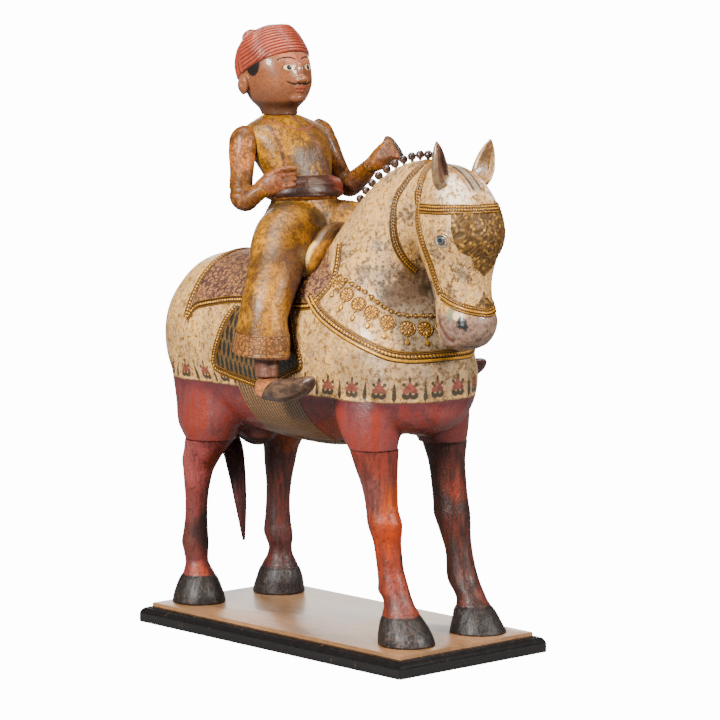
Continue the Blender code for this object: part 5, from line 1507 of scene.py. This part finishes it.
rosy = (sash_paint.near((42, 45, 853, 32), (60, 58, 848, 22), mirrored=False) + (sash_mottle - 0.5) * 1.6)
grey = sash_paint.near((-22, 36, 854, 28), mirrored=False) + (sash_mottle - 0.5) * 1.8
scallop = z - 0.8265 - abs(((y - 0.1) / x.most(0.004)).math("ARCTANGENT").wrapped(0.3)) * 0.02
sash_colour = sash_paint.coats(
    sash_colour,
    (rosy.past(0.34, 0.2) * 0.9, (148, 68, 48)),
    (grey.past(0.34, 0.2) * 0.7, (118, 96, 84)),
    (sash_paint.near((70, 66, 852, 7.5), mirrored=False).past(0.25, 0.2), (18, 12, 11)),
    (scallop.under(0.0, 0.0014) * 0.85, sash_paint.mix(sash_mottle.past(0.5, 0.15), (196, 142, 84),
     (128, 78, 44))))
fix(sash, sash_paint.laid(sash_colour, sash_mottle * 0.25 + 0.25, (sash_mottle, 0.001), (sash_cloud, 0.002),
    coat=(0.05, 0.14), specular=0.15), "ochre_paint", "rider_body")


# Arms and hands: whittled apart and pinned at the shoulders. The near hand lies on the belly with
# its fingers stacked; the far one is a fist cut flat across. Ochre brown paint, rubbed shiny.

arm_right = mm([
    (-86, 156, 951, 14, 17), (-97, 155, 940, 21, 25), (-103, 152, 920, 22, 26),
    (-108, 148, 880, 21, 23), (-112, 146, 845, 20, 22), (-113, 143, 824, 20, 21),
    (-111, 134, 821, 20, 20), (-106, 123, 829, 19, 19), (-99, 112, 838, 17, 17), (-93, 103, 845, 15, 15)])
palm_right = mm([
    (-98, 112, 840, 16, 13), (-91, 100, 848, 20, 12), (-83, 89, 856, 22, 11), (-77, 82, 860, 20, 10),
    (-72, 77, 863, 15, 8)])
arm_left = mm([
    (80, 157, 961, 12, 16), (90, 152, 949, 20, 23), (99, 145, 925, 22, 24), (107, 130, 886, 21, 22),
    (113, 115, 856, 21, 22), (115, 98, 842, 21, 22), (113, 70, 856, 20, 21), (107, 40, 873, 17, 18),
    (103, 20, 886, 14, 15)])
fist_left = mm([
    (103, 22, 884, 15, 14), (108, 14, 890, 18, 16), (115, 6, 898, 21, 18), (124, -5, 909, 22.5, 17.5),
    (133.5, -17.3, 920.2, 22.2, 16), (134, -18, 920.8, 20, 14.2)])
fingers = [limb_form([(-0.084, 0.09, 0.858 + lift, 0.006, 0.0056), (-0.073, 0.078, 0.862 + lift, 0.006,
    0.0056), (-0.061 + short, 0.064 + short * 0.7, 0.866 + lift * 0.96, 0.0054, 0.0052), (-0.053 + short,
    0.056 + short * 0.7, 0.868 + lift * 0.94, 0.0036, 0.004)], (0.0, 0.0, 1.0), 40, 28) for lift,
    short in ((0.0165, 0.0), (0.0055, 0.003), (-0.0055, 0.001), (-0.016, -0.004))]
thumb = limb_form([(-0.09, 0.095, 0.866, 0.007, 0.008), (-0.074, 0.078, 0.8795, 0.0058, 0.007),
    (-0.056, 0.058, 0.8835, 0.0042, 0.005)], (0.0, 0.0, 1.0), 30, 24)
skin_paint = Paint("brown_skin")
x, y, z = skin_paint.x, skin_paint.y, skin_paint.z
skin_cloud = skin_paint.clouds(26.0, 5, 0.64)
skin_stroke = skin_paint.clouds(60.0, 4, 0.6, stretch=(2.0, 2.0, 0.35))
# Painted highlight: a paler patch on the outer side of the near upper arm.
arm_highlight = skin_paint.near((-120, 135, 905, 40), mirrored=False) + (skin_cloud - 0.5) * 1.0
mauve = skin_paint.near((108, 60, 840, 40), (-110, 135, 806, 32), mirrored=False)
hand_there = (skin_paint.near((-72, 78, 862, 40), (118, -12, 898, 30), mirrored=False) + (skin_stroke - 0.5)
    * 0.7)
arm_colour = skin_paint.coats(
    (176, 112, 48),
    (skin_stroke.past(0.5, 0.2), (132, 78, 32)),
    (skin_cloud.past(0.55, 0.12) * 0.6, (126, 70, 34)),
    (arm_highlight.past(0.25, 0.3) * 0.75, (204, 146, 92)),
    ((mauve + (skin_stroke - 0.5)).past(0.3, 0.3) * 0.75, (118, 78, 66)),
    (hand_there.past(0.22, 0.2) * 0.85, skin_paint.mix(skin_cloud.past(0.5, 0.3), (180, 112, 74),
     (136, 76, 50))))
arm_colour, skin_fine, _ = skin_paint.aged(arm_colour, (84, 44, 18), 0.8)
end_strip = (x * 0.56 - y * 0.69 + z * 0.46).past(0.5085, 0.0008) * z.past(0.875, 0.002) * y.under(0.0,
    0.002)
arm_colour = skin_paint.coats(
    arm_colour,
    (end_strip, (54, 34, 28)),
    (skin_fine.under(0.36, 0.06) * 0.4, (212, 166, 120)))
skin_finish = skin_paint.laid(arm_colour, skin_fine * 0.3 + 0.26, (skin_fine, 0.001), (skin_cloud, 0.003),
    coat=(0.06, 0.1), specular=0.2)
near_arm = melt("carved_arm_right", [limb_form(arm_right, (0.0, 0.0, 1.0), 90, 56), limb_form(palm_right,
    (0.0, 0.0, 1.0), 40, 48), *fingers, thumb], 0.0014, 2)
far_arm = melt("carved_arm_left", [limb_form(arm_left, (0.0, 0.0, 1.0), 90, 56), limb_form(fist_left,
    (0.0, 0.0, 1.0), 90, 56)], 0.0016, 2)
facet = unit(np.array([-0.72, -0.66, 0.21]))
spots = points_of(far_arm)
past_facet = ((spots - np.array([0.118, -0.006, 0.905])) @ facet - 0.0105) * (spots[:, 1] < 0.012)
reshape(far_arm, spots - np.clip(past_facet, 0, None)[:, None] * 0.92 * facet)
fix(near_arm, skin_finish, "skin_paint", "arm_right")
fix(far_arm, skin_finish, "skin_paint", "arm_left")


# Feet: cut apart and pegged under the ankles; a bare heel and a dark slipper with a turned-up toe
# and a thin sole.

foot_rows = mm([
    (-202, -11, 488, 0, 8, 10, 10, 2, 2), (-202, -15, 490, 0, 16, 18, 17, 2, 2.4),
    (-203, -24, 492, 0, 21, 20.5, 20, 2.6, 2.6), (-204, -42, 492, 0, 22, 20.7, 20.5, 2.6, 2.8),
    (-206, -62, 492, 0, 23, 20, 20.5, 2.2, 2.8), (-208, -90, 492, 0, 25, 22, 19.5, 2, 2.8),
    (-210, -118, 496, 0, 25, 22, 17, 2, 2.6), (-212, -145, 505, 0, 21, 19, 14, 2, 2.2),
    (-214, -163, 514, 0, 14, 12, 9, 2, 2), (-215, -171, 520, 0, 6, 5, 4.5, 2, 2)], 3, 7, 8)


def foot_form(rows):
    """A slippered foot. In words: rounded sections between the rows, a sixteenth wider where the
    slipper is, behind a slanting mouth, and drawn in along a line above the sole."""
    form = body_form(rows, 170, 84)
    y, z = form[..., 1], form[..., 2]
    mouth = y + (z - 0.492) * 0.9 + 0.052
    shod = 1 / (1 + np.exp(np.clip(mouth / 0.0008, -40, 40)))
    sole = z - (0.4785 + np.clip(-0.095 - y, 0, 1) ** 1.6 * 1.5)
    swell = 0.045 * shod - 0.035 * np.exp(-(sole / 0.0012) ** 2) * shod
    swell += 0.03 * np.exp(-((mouth + 0.003) / 0.0016) ** 2)
    return swollen(form, 0.965 + swell), shod


slipper = Paint("slipper_and_heel")
shod_there, slipper_cloud = slipper.stored("shod"), slipper.clouds(60.0, 5, 0.66, stretch=(1.6, 0.5, 1.6))
slipper_fine, far_foot = slipper.clouds(160.0, 5, 0.74), slipper.x.past(0.0, 0.01)
leather = slipper.coats(
    (74, 50, 42),
    (slipper_cloud.past(0.5, 0.16), (130, 98, 74)),
    (slipper.z.under(0.48, 0.006) * 0.6, (66, 60, 62)),
    (slipper_fine.past(0.56, 0.1) * 0.6, (48, 36, 34)),
    (far_foot * 0.9, slipper.mix(slipper_fine.past(0.5, 0.2), (98, 38, 40), (66, 30, 30))))
heel = slipper.coats(
    (206, 152, 104),
    (slipper_cloud.past(0.5, 0.2), (158, 104, 72)),
    (slipper_fine.past(0.56, 0.1) * 0.7, (98, 62, 44)))
foot_colour = slipper.coats(
    heel,
    (shod_there.past(0.5, 0.2), leather),
    (slipper.z.past(0.5118, 0.0008) * (slipper.y * -1).under(0.058, 0.002) * 0.8, (30, 20, 18)))
foot_finish = slipper.laid(foot_colour, slipper_cloud * 0.2 + 0.2, (slipper_fine, 0.0006),
    (slipper_cloud, 0.0016), coat=(0.12, 0.12), specular=0.3)
for rows, word in zip(both(foot_rows), ("right", "left")):
    form, shod = foot_form(rows)
    fix(skin("slippered_foot_" + word, [form], {"shod": [shod]}), foot_finish, "skin_paint", "foot_" + word)


# Head: carved with a calm, regular face and a fine painted moustache, brows and eyes, and set on
# the neck. The turban is part of the same block, wound in narrow cords under red lacquer.

skull = mm([
    (0, 164, 978.3, 90, 34, 33, 33, 2, 2), (0, 165, 990, 90, 36, 34, 43, 2, 2),
    (0, 164, 1004, 88, 47, 50, 60, 2, 2), (0, 167, 1022, 84, 56, 64, 66, 2.1, 2),
    (0, 174, 1045, 82, 61, 72, 72, 2.1, 2), (0, 182, 1072, 80, 64, 72, 77, 2.1, 2),
    (0, 190, 1098, 78, 58, 64, 72, 2.1, 2), (0, 196, 1120, 76, 48, 48, 60, 2, 2),
    (0, 197, 1135, 76, 20, 24, 24, 2, 2)], 3, 7, 8)
turban_rows = mm([
    (0, 177, 1066.5, 63, 66, 69, 77, 1.9, 2), (0, 180, 1072.5, 63, 68.5, 72, 80, 1.9, 2),
    (0, 187, 1087, 63, 69, 70, 80, 1.9, 2), (0, 192, 1103, 64, 66, 63, 76, 1.9, 2),
    (0, 196, 1120, 66, 57, 53, 65, 2, 2), (0, 197.5, 1134.5, 70, 40, 42, 46, 2, 2),
    (0, 197, 1144.5, 76, 12, 14, 14, 2, 2)], 3, 7, 8)
features = mm([
    (0, 106, 1060, 7, 9, 17), (0, 98, 1046.5, 8.5, 12, 7.5), (8.5, 103, 1044.5, 5.5, 8, 5),
    (0, 106, 1030.5, 16, 8.5, 3.6), (0, 107, 1024, 12.5, 8.5, 4.2), (0, 113, 1011, 18, 12, 11),
    (21.5, 122, 1081, 16, 7.5, 4.5), (23, 122, 1068, 12, 9, 6.2), (64, 194, 1036, 8, 13, 20),
    (66, 196, 1035, 8.5, 9.5, 15)])
feature_forms = [egg(row[:3] * [side, 1, 1], row[3:]) for row in features
                 for side in ((1, -1) if row[0] else (1,))]
face = melt("carved_head", [body_form(skull, 90, 72), *feature_forms], 0.0019, 3)
pressed(face, mm([
    (-10, 112, 1066.5, 6, -1.6), (-73, 192, 1036, 6, -2.2), (-36, 118, 1045, 16, 1.2),
    (0, 96, 1027.5, 4, -0.8)]))

face_paint = Paint("painted_face")
x, y, z = face_paint.x, face_paint.y, face_paint.z
side_x, front = abs(x), y.under(0.15, 0.008)
face_cloud, face_fine = face_paint.clouds(34.0, 5, 0.62), face_paint.clouds(230.0, 5, 0.72)
ink = (26, 20, 20)
eye_x, eye_z = side_x - 0.023, z - 1.068
eye_rim = (eye_x * 0.52).reach(eye_z)
brow_line = abs(z - 1.0835 - 0.0034 + (side_x - 0.022) ** 2 * 16)
lip_line = abs(z - 1.0372 - (side_x - 0.01) ** 2 * 14 + 0.0004)
lip_thick = 0.0016 - side_x * 0.022
lips = (x * 0.42).reach(z - 1.0275)
sect_mark = abs(side_x - 0.0022 - (z - 1.086) * 0.12)
hair = (y - 0.17).reach((z - 1.074) * 0.75, side_x - 0.062).under(0.017, 0.002).most(z.under(1.03, 0.003)
    * y.past(0.196, 0.006) * z.past(0.984, 0.003))
face_colour = face_paint.coats(
    (166, 104, 60),
    (face_cloud.past(0.5, 0.25), (134, 78, 44)),
    (z.under(1.03, 0.03) * 0.6, (122, 72, 50)),
    # Painted highlight: paler skin on the upper forehead.
    (face_paint.near((20, 110, 1098, 34)).past(0.2, 0.6) * 0.5, (212, 164, 142)),
    (face_fine.past(0.56, 0.12) * 0.55, (112, 66, 48)),
    # Painted shade: the neck is dark under the chin.
    (z.under(1.004, 0.008) * 0.8, (84, 50, 32)),
    (eye_rim.under(0.0058, 0.0006) * front, (212, 196, 172)),
    (eye_rim.between(0.0054, 0.0064, 0.0005) * front * 0.9, ink),
    (eye_x.reach(eye_z).under(0.0048, 0.0006) * front, (30, 24, 24)),
    # Painted highlight: a small pale glint in each iris.
    ((eye_x + 0.0014).reach(eye_z - 0.0016).under(0.001, 0.0005) * front, (150, 140, 132)),
    (brow_line.under(0.0013, 0.0007) * side_x.between(0.006, 0.04, 0.002) * front, ink),
    ((lip_line - lip_thick).under(0.0004, 0.0007) * side_x.under(0.03, 0.001) * front * side_x.past(0.0012,
     0.0008), ink),
    (lips.under(0.0066, 0.0012) * front * 0.65, (172, 82, 66)),
    (abs(z - 1.0272 - x * x * 12).under(0.0005, 0.0006) * side_x.under(0.0135, 0.001) * front, (74, 34, 30)),
    (sect_mark.under(0.0009, 0.0006) * z.between(1.084, 1.108, 0.001) * front * 0.8, (176, 76, 46)),
    (hair * side_x.past(0.036, 0.01).most(y.past(0.2, 0.01)), (34, 28, 28)))
face_finish = face_paint.laid(face_colour, face_cloud * 0.2 + 0.22, (face_fine, 0.0004),
    (face_cloud, 0.0012), coat=(0.25, 0.08), specular=0.15)
fix(face, face_finish, "skin_paint", "rider_head")


def turban_form(count=156, sides=380):
    """The wound turban. In words: tilted rounded sections; half-round cords run along them, bent down
    towards the ears, and turn upright at the back, where they cross the front ones in two sheaves."""
    form = body_form(turban_rows, count, sides)
    turn = full_turn(sides)
    up = np.linspace(0, 1, count)[:, None]
    back = np.clip((-np.sin(turn) - 0.1) / 0.16, 0, 1)
    sheaf = up * 12.5 + 1.9 * np.exp(-((np.abs(np.cos(turn)) - 1.0) / 0.16) ** 2) * (1 - 0.7 * up)
    round_cords = np.abs(np.sin(np.pi * sheaf)) ** 0.75
    upright = np.abs(np.sin(turn * 17 + up * 3.0)) ** 0.75
    high = round_cords * (1 - back) + upright * back
    crossing = 0.02 * np.exp(-((-np.sin(turn) - 0.12) / 0.1) ** 2) * np.sin(np.pi * np.clip(up * 1.2, 0, 1))
    fade = np.clip(up / 0.03, 0, 1) * np.clip((1 - up) / 0.12, 0, 1)
    swell = 0.985 + (0.034 * (high - 0.5) + crossing) * fade + 0.02 * np.exp(-((up - 0.06) / 0.05) ** 2)
    return swollen(form, swell), high * fade


def knot_form(count=60, sides=120):
    """The knot. In words: an ellipsoid whose upright folds are deepest at its waist."""
    form = egg((0, 0.244, 1.12), (0.0198, 0.0178, 0.0174), count, sides)
    fold = np.abs(np.sin(full_turn(sides) * 7)) ** 0.8 + np.zeros((count, 1))
    middle = np.array([0, 0.244, 1.12])
    return middle + (form - middle) * (0.95 + 0.08 * fold)[..., None], fold


forms, cords = zip(turban_form(), knot_form())
turban = skin("wound_turban", forms, {"cord": cords})
turban_paint = Paint("red_turban")
cord_high, turban_cloud = turban_paint.stored("cord"), turban_paint.clouds(40.0, 5, 0.64)
turban_fine = turban_paint.clouds(240.0, 5, 0.7)
turban_colour = turban_paint.coats(
    (200, 108, 82),
    (turban_cloud.past(0.5, 0.3), (170, 76, 55)),
    # Painted shade: darker in the grooves between the cords.
    (cord_high.under(0.5, 0.4) * 0.95, (96, 38, 28)),
    (turban_fine.past(0.62, 0.12) * 0.4, (120, 50, 38)),
    (turban_fine.under(0.36, 0.08) * cord_high * 0.5, (226, 156, 128)))
fix(turban, turban_paint.laid(turban_colour, turban_cloud * 0.2 + 0.2, (turban_fine, 0.0005),
    (turban_cloud, 0.0012), coat=(0.2, 0.12), specular=0.35), "skin_paint", "rider_head")


# Floor and light: a plain pale floor under a high soft box at the front left, lower ones on the
# right and behind and a pale surround, as for a catalogue photograph.

def disc_rings(radius, thick, count=40, sides=96):
    """A thin round slab. In words: circles widen over the top to the radius and close again below."""
    reach = np.linspace(0.2, radius, count)
    reach = np.append(reach, reach[::-1])[:, None]
    drop = np.repeat([0.0, -thick], count)[:, None]
    turn = full_turn(sides)
    return np.stack([reach * np.cos(turn), reach * np.sin(turn), drop + 0 * turn], axis=-1)


def white_to_the_eye(tree, soft, kind, outlet):
    """A surface that shows white though it sends little light: rays from the camera meet a bright
    shade of its own, and all others the soft one."""
    glare, chosen = tree.nodes.new(kind), tree.nodes.new("ShaderNodeMixShader")
    glare.inputs["Color"].default_value = (1.0, 1.0, 1.0, 1.0)
    glare.inputs["Strength"].default_value = 14.0
    eye = tree.nodes.new("ShaderNodeLightPath").outputs["Is Camera Ray"]
    for entry, socket in zip(chosen.inputs, (eye, soft.outputs[0], glare.outputs[0])):
        tree.links.new(socket, entry)
    tree.links.new(chosen.outputs[0], tree.nodes[outlet].inputs["Surface"])


floor = skin("floor", [disc_rings(14.0, 0.02)])
white = Paint("floor_white")
floor.data.materials.append(white.laid(white.mix(white.clouds(1.2, 2) * 0.04, (0.15, 0.15, 0.15, 1.0),
    (0.14, 0.14, 0.14, 1.0)), 0.9))
white_to_the_eye(white.material.node_tree, white.shader, "ShaderNodeEmission", "Material Output")


def soft_box(name, place, aim, size, power, tint=(1.0, 0.985, 0.94)):
    """A square lamp at a place, turned to face its aim."""
    lamp = bpy.data.lights.new(name, "AREA")
    lamp.shape, lamp.size, lamp.energy, lamp.color = "SQUARE", size, power, tint
    holder = bpy.data.objects.new(name, lamp)
    holder.location = place
    holder.rotation_euler = (Vector(place) - Vector(aim)).to_track_quat("Z", "Y").to_euler()
    bpy.context.collection.objects.link(holder)


soft_box("key_light", (-4.3, -1.0, 2.9), (0, 0, 0.6), 1.3, 700)
soft_box("front_light", (1.4, -4.2, 2.6), (0, 0, 0.6), 0.9, 340)
soft_box("top_light", (-0.2, 0.2, 4.6), (0, 0, 0.5), 2.2, 225)
soft_box("back_light", (2.6, 2.9, 1.0), (0, 0, 0.2), 2.4, 60)
surround = bpy.data.worlds.new("surround")
surround.use_nodes = True
soft_air = surround.node_tree.nodes["Background"]
soft_air.inputs["Color"].default_value = (1.0, 1.0, 1.0, 1.0)
soft_air.inputs["Strength"].default_value = 0.13
white_to_the_eye(surround.node_tree, soft_air, "ShaderNodeBackground", "World Output")
bpy.context.scene.world = surround
